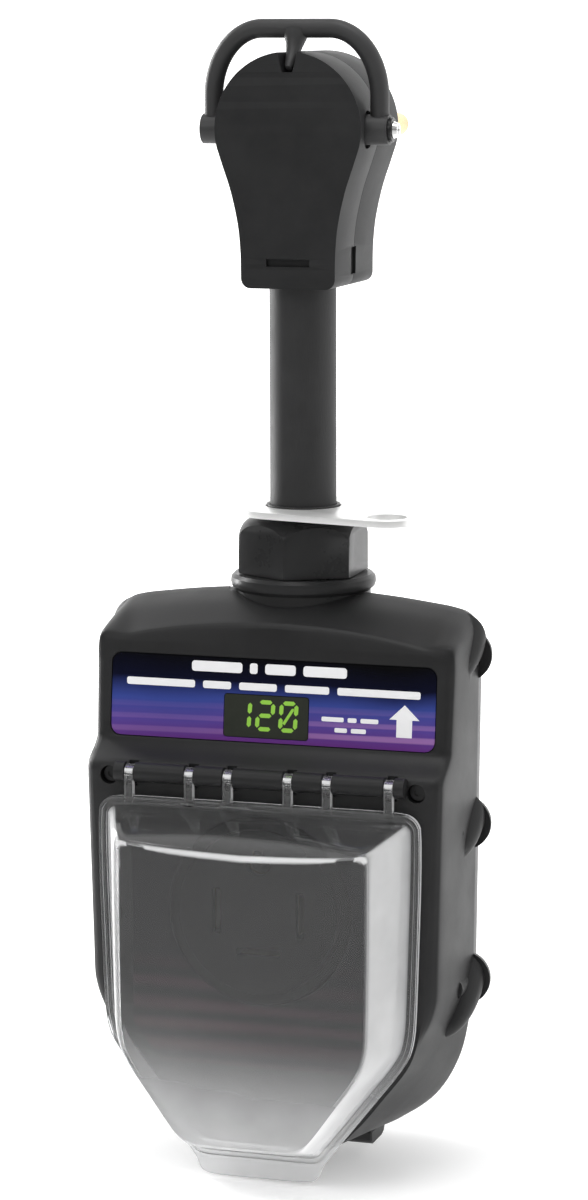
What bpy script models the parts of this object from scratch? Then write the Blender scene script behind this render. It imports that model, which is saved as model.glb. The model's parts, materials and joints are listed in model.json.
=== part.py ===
# Portable surge protector for a 50 A supply post, as an assembly of separate pieces.
#
# It hangs by its plug: the origin is the centre of the plug's flat contact face, +Z is up and +Y points into the
# socket.  The front of the case faces -Y.  Setting-out coordinates below are in millimetres, measured from the back of
# the head's shell, which lies FACE_RISE in front of the raised contact face.
import bpy
import bmesh
import math
from mathutils import Matrix, Vector

MM = 0.001
GAP = 0.3            # clearance between pieces that touch

# plug head
FACE_RISE = 5.0      # raised contact face above the head's back
HEAD_R = 30.4
HEAD_CZ = 0.3
HEAD_FRONT = -53.0
HEAD_SEAM = -27.6
HEAD_BOTTOM = -62.8
HEAD_WALL = 2.6
BLADE_LEN = 25.4
BLADE_W = 17.3
BLADE_T = 2.4
LINE_Z = 17.45       # half the spacing of the line blades
NEUTRAL_X = -16.0
GROUND_X = 20.6
GROUND_R = 4.75
GROUND_LEN = 31.0
# bail
PIVOT_Y = -41.0
ARM_X = 34.6
BAIL_TOP = 39.7
ROD_R = 3.8
KNUCKLE_R = 6.0
# cable, lock plate and gland
CABLE_Y = -33.0
CABLE_R = 13.5
PLATE_TOP = -151.8
PLATE_T = 2.6
PLATE_ANGLE = -31.0
NUT_TOP = -156.3
NUT_BOTTOM = -179.0
NUT_R = 27.0
COLLAR_R = 29.7
NECK_R = 27.5
# case
SEAM_Y = -41.6
BACK_Y = -2.0
PANEL_Y = -90.3      # lower front panel
CASE_MID_Z = -298.0
WALL = 3.0
WELD = 4e-7          # metres: closer points are one point
LUG_Z = (-208.5, -277.5, -342.0)
LUG_X = 70.0
SCREW_X = 70.5
HINGE_Y = -92.0
HINGE_Z = -254.0
SLOT_X = (-54.0, -28.7, -12.5, 12.5, 28.7, 54.0)
OUTLET_Z = -308.0
OUTLET_R = 33.0
BEZEL_R = 38.0
LABEL_TILT = 84.0
LABEL_Z = -225.5

for old in list(bpy.data.objects):
    bpy.data.objects.remove(old, do_unlink=True)

PART = bpy.data.collections.new("surge_protector_plug")
TOOLS = bpy.data.collections.new("cutters")
bpy.context.scene.collection.children.link(PART)
bpy.context.scene.collection.children.link(TOOLS)


# ------------------------------------------------------------------ helpers
def P(x, y, z):
    return Vector((x * MM, (y - FACE_RISE) * MM, z * MM))


def material(name, color, rough, metal=0.0, alpha=1.0, coat=0.0):
    m = bpy.data.materials.new(name)
    m.use_nodes = True
    b = m.node_tree.nodes["Principled BSDF"]
    b.inputs["Base Color"].default_value = (*color, 1.0)
    b.inputs["Roughness"].default_value = rough
    b.inputs["Metallic"].default_value = metal
    b.inputs["Alpha"].default_value = alpha
    b.inputs["Coat Weight"].default_value = coat
    m.diffuse_color = (*color, alpha)
    return m


BLACK = material("moulded_black", (0.028, 0.028, 0.030), 0.52)
GLOSS = material("gloss_black", (0.018, 0.018, 0.019), 0.22, coat=0.3)
RUBBER = material("cable_rubber", (0.035, 0.035, 0.036), 0.62)
STEEL = material("polished_steel", (0.80, 0.80, 0.79), 0.12, 1.0)
BRASS = material("brass", (0.78, 0.62, 0.28), 0.28, 1.0)
COPPER = material("wire_insulation", (0.45, 0.08, 0.06), 0.45)
CLEAR = material("clear_cover", (0.92, 0.93, 0.94), 0.06, 0.0, 0.35)
LABEL = material("label_print", (0.10, 0.06, 0.28), 0.25)
SMOKED = material("smoked_window", (0.05, 0.06, 0.05), 0.10, 0.0, 0.6)
BOARD = material("circuit_board", (0.03, 0.22, 0.10), 0.45)
DEVICE = material("relay_case", (0.55, 0.56, 0.58), 0.45)
THERMO = material("thermoset", (0.040, 0.040, 0.042), 0.42)


def link(ob, coll):
    coll.objects.link(ob)
    return ob


def as_tool(ob):
    for c in list(ob.users_collection):
        c.objects.unlink(ob)
    TOOLS.objects.link(ob)
    ob.hide_render = True
    ob.display_type = 'WIRE'
    return ob


def new_mesh(name, bm, mat=None, smooth=35.0):
    bmesh.ops.recalc_face_normals(bm, faces=bm.faces)
    me = bpy.data.meshes.new(name)
    bm.to_mesh(me)
    bm.free()
    if mat is not None:
        me.materials.append(mat)
    ob = link(bpy.data.objects.new(name, me), PART)
    if smooth:
        me.shade_smooth()
        me.set_sharp_from_angle(angle=math.radians(smooth))
    return ob


def add_box(bm, lo, hi):
    lo, hi = P(*lo), P(*hi)
    size = hi - lo
    bmesh.ops.create_cube(bm, size=1.0, matrix=Matrix.Translation((lo + hi) / 2) @ Matrix.Diagonal((*size, 1.0)))


def add_cyl(bm, a, b, r0, r1=None, seg=24, turn=0.0):
    a, b = P(*a), P(*b)
    d = b - a
    m = Matrix.Translation((a + b) / 2) @ d.to_track_quat('Z', 'Y').to_matrix().to_4x4() \
        @ Matrix.Rotation(math.radians(turn), 4, 'Z')
    bmesh.ops.create_cone(bm, cap_ends=True, segments=seg, radius1=r0 * MM, radius2=(r0 if r1 is None else r1) * MM,
                          depth=d.length, matrix=m)


def add_ball(bm, c, radii, u=16, v=10):
    bmesh.ops.create_uvsphere(bm, u_segments=u, v_segments=v, radius=1.0,
                              matrix=Matrix.Translation(P(*c)) @ Matrix.Diagonal((radii[0] * MM, radii[1] * MM,
                                                                                 radii[2] * MM, 1.0)))


def solid(name, adders, mat=None):
    bm = bmesh.new()
    for fn, args in adders:
        fn(bm, *args[0], **args[1])
    return new_mesh(name, bm, mat)


def box(name, lo, hi, mat=None):
    bm = bmesh.new()
    add_box(bm, lo, hi)
    return new_mesh(name, bm, mat)


def cyl(name, a, b, r0, r1=None, seg=24, mat=None, turn=0.0):
    bm = bmesh.new()
    add_cyl(bm, a, b, r0, r1, seg, turn)
    return new_mesh(name, bm, mat)


def bake(ob):
    """Replace an object's mesh (or a curve) by its evaluated mesh, welded."""
    bpy.context.view_layer.update()
    dg = bpy.context.evaluated_depsgraph_get()
    me = bpy.data.meshes.new_from_object(ob.evaluated_get(dg))
    bm = bmesh.new()
    bm.from_mesh(me)
    bmesh.ops.remove_doubles(bm, verts=bm.verts, dist=WELD)
    bmesh.ops.dissolve_degenerate(bm, edges=bm.edges, dist=WELD)
    bm.to_mesh(me)
    bm.free()
    me.shade_smooth()
    me.set_sharp_from_angle(angle=math.radians(35.0))
    if ob.type == 'MESH':
        ob.modifiers.clear()
        ob.data = me
        return ob
    new = bpy.data.objects.new(ob.name, me)
    new.matrix_world = ob.matrix_world.copy()
    for c in ob.users_collection:
        c.objects.link(new)
    name = ob.name
    bpy.data.objects.remove(ob, do_unlink=True)
    new.name = name
    return new


def combine(ob, tool, op):
    m = ob.modifiers.new(tool.name, 'BOOLEAN')
    m.operation = op
    m.solver = 'EXACT'
    m.object = tool
    as_tool(tool)
    return bake(ob)


def cut(ob, tool):
    return combine(ob, tool, 'DIFFERENCE')


def add(ob, tool):
    return combine(ob, tool, 'UNION')


def plate(name, loops, lo, hi, plane, mat=None):
    """Closed outlines in mm, extruded from lo to hi along the plane's normal."""
    cu = bpy.data.curves.new(name, 'CURVE')
    cu.dimensions = '2D'
    cu.fill_mode = 'BOTH'
    cu.extrude = abs(hi - lo) / 2 * MM
    for pts in loops:
        sp = cu.splines.new('POLY')
        sp.points.add(len(pts) - 1)
        for p, (a, b) in zip(sp.points, pts):
            p.co = (a * MM, b * MM, 0.0, 1.0)
        sp.use_cyclic_u = True
    if mat is not None:
        cu.materials.append(mat)
    ob = link(bpy.data.objects.new(name, cu), PART)
    mid = (lo + hi) / 2
    if plane == 'XZ':
        ob.matrix_world = Matrix.Translation(P(0, mid, 0)) @ Matrix.Rotation(math.pi / 2, 4, 'X')
    elif plane == 'YZ':
        ob.matrix_world = Matrix.Translation(P(mid, 0, 0)) @ Matrix(((0, 0, 1, 0), (1, 0, 0, 0), (0, 1, 0, 0),
                                                                    (0, 0, 0, 1)))
    else:
        ob.matrix_world = Matrix.Translation(P(0, 0, mid))
    return bake(ob)


def turned(name, profile, centre, mat=None, steps=32):
    """A profile of (radius, height) in mm, outer side top to bottom, screwed about the vertical through centre."""
    me = bpy.data.meshes.new(name)
    closed = profile[0][0] > 0 or profile[-1][0] > 0
    bm = bmesh.new()
    vs = [bm.verts.new((r * MM, 0.0, z * MM)) for r, z in profile]
    for a, b in zip(vs, vs[1:]):
        bm.edges.new((a, b))
    if closed:
        bm.edges.new((vs[-1], vs[0]))
    bm.to_mesh(me)
    bm.free()
    if mat is not None:
        me.materials.append(mat)
    ob = link(bpy.data.objects.new(name, me), PART)
    ob.location = P(centre[0], centre[1], 0.0)
    s = ob.modifiers.new("turn", 'SCREW')
    s.axis = 'Z'
    s.steps = steps
    s.render_steps = steps
    s.use_merge_vertices = True
    s.merge_threshold = 0.00001
    s.use_smooth_shade = True
    return bake(ob)


def tube(name, pts, r, mat, res=3, radii=None):
    cu = bpy.data.curves.new(name, 'CURVE')
    cu.dimensions = '3D'
    cu.bevel_depth = r * MM
    cu.bevel_resolution = res
    cu.use_fill_caps = True
    sp = cu.splines.new('POLY')
    sp.points.add(len(pts) - 1)
    for i, (p, q) in enumerate(zip(sp.points, pts)):
        p.co = (*P(*q), 1.0)
        if radii:
            p.radius = radii[i]
    cu.materials.append(mat)
    ob = link(bpy.data.objects.new(name, cu), PART)
    return bake(ob)


def bevel(ob, width, seg=2, angle=35.0):
    m = ob.modifiers.new("edge", 'BEVEL')
    m.width = width * MM
    m.segments = seg
    m.limit_method = 'ANGLE'
    m.angle_limit = math.radians(angle)
    m.use_clamp_overlap = True
    return bake(ob)


def flatten(ob):
    """Merge the coplanar facets that the cuts leave."""
    m = ob.modifiers.new("flat", 'DECIMATE')
    m.decimate_type = 'DISSOLVE'
    m.angle_limit = math.radians(0.6)
    return bake(ob)


def set_origin(ob, x, y, z):
    """Put an object's origin on its joint's axis, without moving the piece."""
    bpy.context.view_layer.update()
    p = P(x, y, z)
    ob.data.transform(Matrix.Translation(-p) @ ob.matrix_world)
    ob.matrix_world = Matrix.Translation(p)
    return ob


def arc(cx, cz, r, a0, a1, n):
    return [(cx + r * math.cos(math.radians(a0 + (a1 - a0) * i / n)),
             cz + r * math.sin(math.radians(a0 + (a1 - a0) * i / n))) for i in range(n + 1)]


def ring2(cx, cz, r, n=24):
    return arc(cx, cz, r, 0, 360.0 * (n - 1) / n, n - 1)


def spline(pts, per):
    """Catmull-Rom curve through 2D or 3D points, per steps to a span."""
    out = []
    n = len(pts)
    for i in range(n - 1):
        p0, p1, p2, p3 = pts[max(i - 1, 0)], pts[i], pts[i + 1], pts[min(i + 2, n - 1)]
        for k in range(per):
            t = k / per
            out.append(tuple(0.5 * (2 * b + (c - a) * t + (2 * a - 5 * b + 4 * c - d) * t * t
                                    + (3 * b - a - 3 * c + d) * t ** 3) for a, b, c, d in zip(p0, p1, p2, p3)))
    out.append(tuple(pts[-1]))
    return out


def inset(pts, d):
    """Move a closed counter-clockwise outline inwards by d."""
    out = []
    n = len(pts)
    for i in range(n):
        (ax, az), (bx, bz), (cx, cz) = pts[i - 1], pts[i], pts[(i + 1) % n]
        u = Vector((bx - ax, bz - az)).normalized()
        v = Vector((cx - bx, cz - bz)).normalized()
        nu, nv = Vector((-u.y, u.x)), Vector((-v.y, v.x))
        m = (nu + nv).normalized()
        k = d / max(0.4, m.dot(nu))
        out.append((bx + m.x * k, bz + m.y * k))
    return out


def rounded(x0, z0, x1, z1, r, n=4):
    return arc(x1 - r, z1 - r, r, 0, 90, n) + arc(x0 + r, z1 - r, r, 90, 180, n) \
        + arc(x0 + r, z0 + r, r, 180, 270, n) + arc(x1 - r, z0 + r, r, 270, 360, n)


# ------------------------------------------------------------------ plug head
def head_outline():
    """Counter-clockwise outline: round head, waisted flanks, square foot with rounded corners."""
    flank = [(19.6, -58.8), (19.8, -48.0), (20.9, -37.0), (23.7, -24.5), (27.2, -14.0), (29.5, -7.4)]
    half = arc(15.6, HEAD_BOTTOM + 4.0, 4.0, -90, 0, 2)[:-1] + flank + arc(0, HEAD_CZ, HEAD_R, -8, 90, 9)
    return half + [(-x, z) for x, z in reversed(half[:-1])]


OUT = head_outline()
INN = inset(OUT, HEAD_WALL)
BOSS = ((18.5, 16.0), (-18.5, 16.0), (16.0, -30.0), (-16.0, -30.0))

front = bevel(plate("head_front_shell", [OUT], HEAD_FRONT, HEAD_SEAM - GAP / 2, 'XZ', BLACK), 1.4, 1, 50)
cavity = plate("head_front_cavity", [INN], HEAD_FRONT + HEAD_WALL, HEAD_SEAM + 5, 'XZ')
keep = solid("head_front_keep", [
    (add_box, (((-8.0, -60.0, 18.4), (8.0, -38.6, 40.0)), {})),
    (add_cyl, (((17.0, PIVOT_Y, 0), (40, PIVOT_Y, 0), 9.3), {"seg": 14})),
    (add_cyl, (((-17.0, PIVOT_Y, 0), (-40, PIVOT_Y, 0), 9.3), {"seg": 14})),
] + [(add_cyl, (((x, -60, z), (x, -20, z), 3.4), {"seg": 8})) for x, z in BOSS])
cavity = cut(cavity, keep)
front = cut(front, cavity)
holes = solid("head_front_holes", [
    (add_cyl, (((28.0, PIVOT_Y, 0), (40, PIVOT_Y, 0), 7.5), {"seg": 16})),
    (add_cyl, (((-28.0, PIVOT_Y, 0), (-40, PIVOT_Y, 0), 7.5), {"seg": 16})),
    (add_box, (((-9.0, -60.0, -54.0), (9.0, -51.3, -51.0)), {})),
] + [(add_cyl, (((x, -46.0, z), (x, -20, z), 1.7), {"seg": 8})) for x, z in BOSS])
front = cut(front, holes)
front = cut(front, solid("head_pivot_holes", [
    (add_cyl, (((s * 18.4, PIVOT_Y, 0), (s * 29, PIVOT_Y, 0), 2.2), {"seg": 8})) for s in (1, -1)]))
notch = plate("head_notch", [[(2.1, 22.6), (3.0, 25.5), (4.6, 33.0), (-4.6, 33.0), (-3.0, 25.5), (-2.1, 22.6)]],
              -56.0, -41.2, 'XZ')
front = cut(front, notch)
pry = solid("head_pry_slots", [
    (add_box, (((s * 18.4, -31.0, -58.0), (s * 24.0, -24.5, -47.0)), {})) for s in (1, -1)])
pry_back = solid("head_pry_slots_back", [
    (add_box, (((s * 18.4, -31.0, -58.0), (s * 24.0, -24.5, -47.0)), {})) for s in (1, -1)])
front = cut(front, pry)
mouth = cyl("head_cable_mouth", (0, CABLE_Y, -70), (0, CABLE_Y, -55), CABLE_R + GAP, seg=20)
mouth_back = cyl("head_cable_mouth_back", (0, CABLE_Y, -70), (0, CABLE_Y, -55), CABLE_R + GAP, seg=20)
front = cut(front, mouth)

front = flatten(front)

back = bevel(plate("head_back_shell", [OUT], HEAD_SEAM + GAP / 2, 0.0, 'XZ', BLACK), 1.4, 1, 50)
back = add(back, cyl("head_face", (0, -1.5, 0), (0, FACE_RISE, 0), 27.0, seg=28))
cavity = plate("head_back_cavity", [INN], HEAD_SEAM - 5, -3.0, 'XZ')
cavity = cut(cavity, solid("head_back_keep", [(add_cyl, (((x, -32, z), (x, 0, z), 3.4), {"seg": 8}))
                                              for x, z in BOSS]))
back = cut(back, cavity)
back = cut(back, solid("head_back_holes", [
    (add_cyl, (((x, -30, z), (x, -2.9, z), 1.7), {"seg": 8})) for x, z in BOSS] + [
    (add_cyl, (((x, -2.6, z), (x, 9, z), 3.3), {"seg": 10})) for x, z in BOSS] + [
    (add_box, (((-BLADE_W / 2 - GAP, -9, s * LINE_Z - BLADE_T / 2 - GAP),
                (BLADE_W / 2 + GAP, 9, s * LINE_Z + BLADE_T / 2 + GAP)), {})) for s in (1, -1)] + [
    (add_box, (((NEUTRAL_X - BLADE_T / 2 - GAP, -9, -BLADE_W / 2 - GAP),
                (NEUTRAL_X + BLADE_T / 2 + GAP, 9, BLADE_W / 2 + GAP)), {})),
    (add_cyl, (((GROUND_X, -9, 0), (GROUND_X, 9, 0), GROUND_R + GAP), {"seg": 14}))]))
# the shank holes meet the head recesses
back = cut(back, solid("head_back_through", [
    (add_cyl, (((x, -4, z), (x, -1, z), 1.7), {"seg": 8})) for x, z in BOSS]))
back = cut(back, pry_back)
back = cut(back, mouth_back)

back = flatten(back)
block = cyl("head_terminal_block", (0, -16.0, 0), (0, -3.0 - GAP, 0), 27.2, seg=24, mat=THERMO)
block = cut(block, solid("block_holes", [
    (add_cyl, (((x, -30, z), (x, 5, z), 3.4 + GAP + 0.3), {"seg": 8})) for x, z in BOSS[:2]] + [
    (add_box, (((-BLADE_W / 2 - GAP, -30, s * LINE_Z - BLADE_T / 2 - GAP),
                (BLADE_W / 2 + GAP, 9, s * LINE_Z + BLADE_T / 2 + GAP)), {})) for s in (1, -1)] + [
    (add_box, (((NEUTRAL_X - BLADE_T / 2 - GAP, -30, -BLADE_W / 2 - GAP),
                (NEUTRAL_X + BLADE_T / 2 + GAP, 9, BLADE_W / 2 + GAP)), {})),
    (add_cyl, (((GROUND_X, -30, 0), (GROUND_X, 9, 0), GROUND_R + GAP), {"seg": 14}))]))

tip = FACE_RISE + BLADE_LEN
w = BLADE_W / 2
blade = [(-w, -15.0), (w, -15.0), (w, tip - 3.0), (w - 1.2, tip - 0.9), (w - 3.2, tip), (-w + 3.2, tip),
         (-w + 1.2, tip - 0.9), (-w, tip - 3.0)]
plate("line_blade_upper", [blade], LINE_Z - BLADE_T / 2, LINE_Z + BLADE_T / 2, 'XY', BRASS)
plate("line_blade_lower", [blade], -LINE_Z - BLADE_T / 2, -LINE_Z + BLADE_T / 2, 'XY', BRASS)
plate("neutral_blade", [[(y, x) for x, y in reversed(blade)]], NEUTRAL_X - BLADE_T / 2, NEUTRAL_X + BLADE_T / 2, 'YZ',
      BRASS)
pin = turned("ground_pin", [(0, 0), (2.4, 0), (3.9, -0.9), (GROUND_R, -3.2), (GROUND_R, -GROUND_LEN - 19.0),
                            (0, -GROUND_LEN - 19.0)], (0, 0), BRASS, 14)
pin.matrix_world = Matrix.Translation(P(GROUND_X, FACE_RISE + GROUND_LEN, 0)) @ Matrix.Rotation(-math.pi / 2, 4, 'X')

for i, (x, z) in enumerate(BOSS):
    s = cyl("head_screw_%d" % (i + 1), (x, -44.0, z), (x, -1.6, z), 1.4, seg=8, mat=STEEL)
    s = add(s, cyl("head_screw_cap_%d" % i, (x, -2.2, z), (x, -0.4, z), 2.9, 2.5, seg=10))
    s = cut(s, cyl("head_screw_drive_%d" % i, (x, -1.2, z), (x, 2, z), 1.3, seg=6))

clamp = box("head_cable_clamp", (-16.4, -29.5, -56.0), (16.4, -13.0, -47.0), THERMO)
cut(clamp, cyl("clamp_seat", (0, CABLE_Y, -70), (0, CABLE_Y, -30), CABLE_R + GAP, seg=20))

# ------------------------------------------------------------------ bail
side = [(ARM_X, z) for z in (0.0, 7.0)]
corner = [(14.0 + (ARM_X - 14.0) * math.cos(a), 13.0 + (BAIL_TOP - 13.0) * math.sin(a))
          for a in [math.pi / 2 * i / 7 for i in range(8)]]
right = side + corner
path = right + [(-x, z) for x, z in reversed(right)]
bail = tube("bail_handle", [(x, PIVOT_Y, z) for x, z in path], ROD_R, GLOSS, 3)
finger = tube("bail_finger", [(0, PIVOT_Y, BAIL_TOP - 0.6), (0, PIVOT_Y - 0.6, 36.2), (0, PIVOT_Y - 2.0, 33.4),
                              (0, PIVOT_Y - 4.2, 30.5), (0, PIVOT_Y - 6.6, 27.6), (0, PIVOT_Y - 8.8, 25.3),
                              (0, PIVOT_Y - 9.8, 24.2)],
              1.0, GLOSS, 3, [5.2, 4.6, 3.5, 2.8, 2.3, 1.9, 1.3])
bail = add(bail, finger)
bail = add(bail, solid("bail_knuckles", [
    (add_cyl, (((s * 28.4, PIVOT_Y, 0), (s * 38.8, PIVOT_Y, 0), KNUCKLE_R), {"seg": 18})) for s in (1, -1)]))
bail = cut(bail, solid("bail_bores", [
    (add_cyl, (((20, PIVOT_Y, 0), (45, PIVOT_Y, 0), 2.1), {"seg": 8})),
    (add_cyl, (((-20, PIVOT_Y, 0), (-36.6, PIVOT_Y, 0), 2.4), {"seg": 8}))]))
set_origin(bail, 0, PIVOT_Y, 0)

stud = cyl("bail_pivot_stud", (-18.8, PIVOT_Y, 0), (-36.0, PIVOT_Y, 0), 2.0, seg=14, mat=STEEL)
washer = turned("bail_pivot_washer", [(2.2, 0.6), (4.6, 0.6), (4.9, 0.3), (4.9, -0.6), (2.2, -0.6)], (0, 0), GLOSS, 18)
washer.matrix_world = Matrix.Translation(P(39.7, PIVOT_Y, 0)) @ Matrix.Rotation(math.pi / 2, 4, 'Y')
screw = cyl("bail_pivot_screw", (18.8, PIVOT_Y, 0), (41.3, PIVOT_Y, 0), 1.8, seg=8, mat=STEEL)
screw = add(screw, cyl("pivot_screw_head", (40.6, PIVOT_Y, 0), (42.4, PIVOT_Y, 0), 3.4, 2.7, seg=16))
screw = cut(screw, solid("pivot_screw_cross", [
    (add_box, (((41.7, PIVOT_Y - 1.9, -0.45), (44, PIVOT_Y + 1.9, 0.45)), {}))]))
screw = cut(screw, solid("pivot_screw_cross2", [
    (add_box, (((41.7, PIVOT_Y - 0.45, -1.9), (44, PIVOT_Y + 0.45, 1.9)), {}))]))

# ------------------------------------------------------------------ cable
CORE = ((-5.0, -38.0), (5.0, -38.0), (-5.0, -28.0), (5.0, -28.0))
CORE_R = 3.3
JACKET_TOP = -44.0
JACKET_END = -212.0
jacket = cyl("cable_jacket", (0, CABLE_Y, JACKET_END), (0, CABLE_Y, JACKET_TOP), CABLE_R, seg=24, mat=RUBBER)
cut(jacket, solid("cable_bores", [
    (add_cyl, (((x, y, -230), (x, y, -30), CORE_R + 0.35), {"seg": 8})) for x, y in CORE]))
ROUTES = {
    "conductor_line_1": [(-5, -38, -44), (-5, -38, -20), (-3.6, -38, 2), (-0.8, -34, 13.5), (0, -26, 17.3),
                         (0, -17.2, 17.45)],
    "conductor_line_2": [(5, -38, -44), (5, -38, -36), (3.2, -35.5, -25), (0.6, -29.5, -18.6), (0, -24, -17.45),
                         (0, -17.2, -17.45)],
    "conductor_neutral": [(-5, -28, -44), (-5.6, -28, -32), (-10.5, -28, -14), (-14.8, -26.6, -3.5),
                          (-16, -22.6, -0.3), (-16, -17.2, 0)],
    "conductor_ground": [(5, -28, -44), (5.6, -28, -32), (12.0, -28, -15), (18.4, -26.6, -4.0),
                         (20.4, -22.6, -0.3), (20.6, -17.2, 0)],
}
TAILS = {
    "conductor_line_1": [(-28, -30, -226.6), (-27.6, -31, -222.5), (-21, -34.5, -218), (-10, -37.4, -216.5),
                         (-5, -38, -213.0)],
    "conductor_line_2": [(28, -30, -226.6), (27.6, -31, -222.5), (21, -34.5, -218), (10, -37.4, -216.5),
                         (5, -38, -213.0)],
    "conductor_neutral": [(-8, -59.3, -300), (-8, -50, -299), (-6.4, -36, -290), (-5, -29.5, -276), (-5, -28, -250)],
    "conductor_ground": [(8, -59.3, -300), (8, -50, -299), (6.4, -36, -290), (5, -29.5, -276), (5, -28, -250)],
}
for name, top in ROUTES.items():
    x, y = top[0][0], top[0][1]
    pts = spline(TAILS[name], 2) + [(x, y, -50.0)] + spline(top, 2)
    tube(name, pts, CORE_R, COPPER, 1)

# ------------------------------------------------------------------ lock plate
SMALL_D, SMALL_R, RING_R = 50.0, 13.0, 29.0
tangent = math.degrees(math.acos((RING_R - SMALL_R) / SMALL_D))
shape = arc(0, 0, RING_R, tangent, 360 - tangent, 22) + arc(SMALL_D, 0, SMALL_R, -tangent, tangent, 10)
lock = plate("lock_plate", [shape, ring2(0, 0, 15.4, 24), ring2(SMALL_D, 0, 8.0, 16)], PLATE_TOP - PLATE_T, PLATE_TOP,
             'XY', STEEL)
lock.matrix_world = Matrix.Translation(P(0, CABLE_Y, PLATE_TOP - PLATE_T / 2)) \
    @ Matrix.Rotation(math.radians(PLATE_ANGLE), 4, 'Z')
bush = turned("lock_plate_bush", [(13.8, PLATE_TOP + 0.7), (14.9, PLATE_TOP + 0.7), (14.9, PLATE_TOP - PLATE_T - GAP),
                                  (17.2, PLATE_TOP - PLATE_T - GAP), (17.2, NUT_TOP + GAP), (13.8, NUT_TOP + GAP)],
              (0, CABLE_Y), RUBBER, 24)

# ------------------------------------------------------------------ gland
nut = cyl("gland_nut", (0, CABLE_Y, NUT_BOTTOM), (0, CABLE_Y, NUT_TOP), NUT_R, seg=6, mat=GLOSS, turn=0.0)
dome = [(0, NUT_TOP + 0.01)] + [(18.0 + 9.4 * math.sin(a), NUT_TOP - 10.5 * (1 - math.cos(a)))
                               for a in [math.pi / 2 * i / 4 for i in range(5)]]
dome = [(0.0, NUT_TOP + 2.0), (17.0, NUT_TOP + 2.0)] + dome[1:] + [(27.4, NUT_BOTTOM + 1.6), (25.8, NUT_BOTTOM - 2.0),
                                                                 (0.0, NUT_BOTTOM - 2.0)]
nut = combine(nut, turned("nut_dome", dome, (0, CABLE_Y), None, 24), 'INTERSECT')
nut = cut(nut, turned("nut_bore", [(0.0, -150.0), (CABLE_R + 0.5, -150.0), (CABLE_R + 0.5, -159.3), (21.0, -159.3),
                                   (21.0, -190.0), (0.0, -190.0)], (0, CABLE_Y), None, 20))
turned("gland_seal", [(CABLE_R + GAP, -159.7), (20.2, -159.7), (20.2, -171.6), (CABLE_R + GAP, -171.6)],
       (0, CABLE_Y), RUBBER, 20)
turned("gland_body", [(CABLE_R + 0.6, -172.0), (20.6, -172.0), (20.6, NUT_BOTTOM - GAP), (COLLAR_R - 1.6, NUT_BOTTOM - GAP),
                      (COLLAR_R - 0.3, -180.6), (COLLAR_R, -182.4), (COLLAR_R - 0.5, -184.3), (COLLAR_R - 1.8, -185.4),
                      (NECK_R, -185.9), (NECK_R, -199.0), (21.8, -199.0), (21.8, -205.5), (CABLE_R + 0.6, -205.5)],
       (0, CABLE_Y), GLOSS, 24)
turned("gland_locknut", [(22.1, -199.3), (25.2, -199.3), (25.2, -204.8), (22.1, -204.8)], (0, CABLE_Y), BLACK, 20)


# ------------------------------------------------------------------ case
def seam_half():
    """Right half of the case outline at the seam, top centre to bottom centre, with a weight: 1 top, 0 side."""
    top = [(x, -184.0 - 6.0 * (x / 70.0) ** 2, 1.0) for x in (0.0, 20.0, 40.0, 56.0, 66.0)]
    corner = [(72.0, -191.6, 0.7), (76.0, -198.0, 0.2)]
    side = [(76.5 - 1.9 * (-206.0 - z) / 134.0, z, 0.0)
            for z in (-208.0, -243.0, -246.5, -250.5, -253.0, -300.0, -340.0)]
    low = [(x, z, 0.0) for x, z in ((73.6, -354.0), (69.6, -374.0), (61.0, -390.0), (48.4, -400.8),
                                    (33.0, -407.2), (0.0, -408.0))]
    return top + corner + side + low


def face_y(z):
    """Depth of the front face: tilted label panel, shelf, then the flat lower panel."""
    if z > -243.0:
        return -77.6 + 0.105 * (z + 243.0)
    for (z0, y0), (z1, y1) in (((-243.0, -77.6), (-246.5, -81.5)), ((-246.5, -81.5), (-250.5, -88.6)),
                               ((-250.5, -88.6), (-253.0, PANEL_Y))):
        if z >= z1:
            return y0 + (y1 - y0) * (z0 - z) / (z0 - z1)
    return PANEL_Y


def front_edge(x, z, w):
    """Edge of the flat front for one seam point."""
    if w == 1.0:
        return x * 71.7 / 76.5, -196.4 - 9.3 * (x / 76.0) ** 2
    if w > 0.0:
        return {0.7: (67.8, -204.9), 0.2: (71.2, -207.8)}[w]
    if z > -345.0:
        return x - 4.8 - 2.2 * min(1.0, max(0.0, (-258.0 - z) / 72.0)), min(z, -213.0)
    return LOW_FRONT[z]


# the lower end of the front face follows the cover's flange, so the case slopes back from it to the seam
LOW_FRONT = {-354.0: (66.2, -351.0), -374.0: (61.8, -366.0), -390.0: (50.6, -381.4), -400.8: (39.0, -395.4),
             -407.2: (28.0, -403.2), -408.0: (0.0, -404.2)}


FRONT_H = (0.0, 0.08, 0.45, 0.88, 0.965, 1.0)
FRONT_SIDE = (0.0, 0.0, 0.10, 0.27, 0.52, 1.0)
FRONT_TOP = (0.0, 0.0, 0.30, 0.77, 0.89, 1.0)
FRONT_LOW = (0.0, 0.0, 0.42, 0.87, 0.96, 1.0)
BACK_H = (0.0, 0.40, 0.80, 0.93, 1.0)
BACK_G = (0.0, 0.20, 0.45, 0.66, 1.0)


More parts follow.
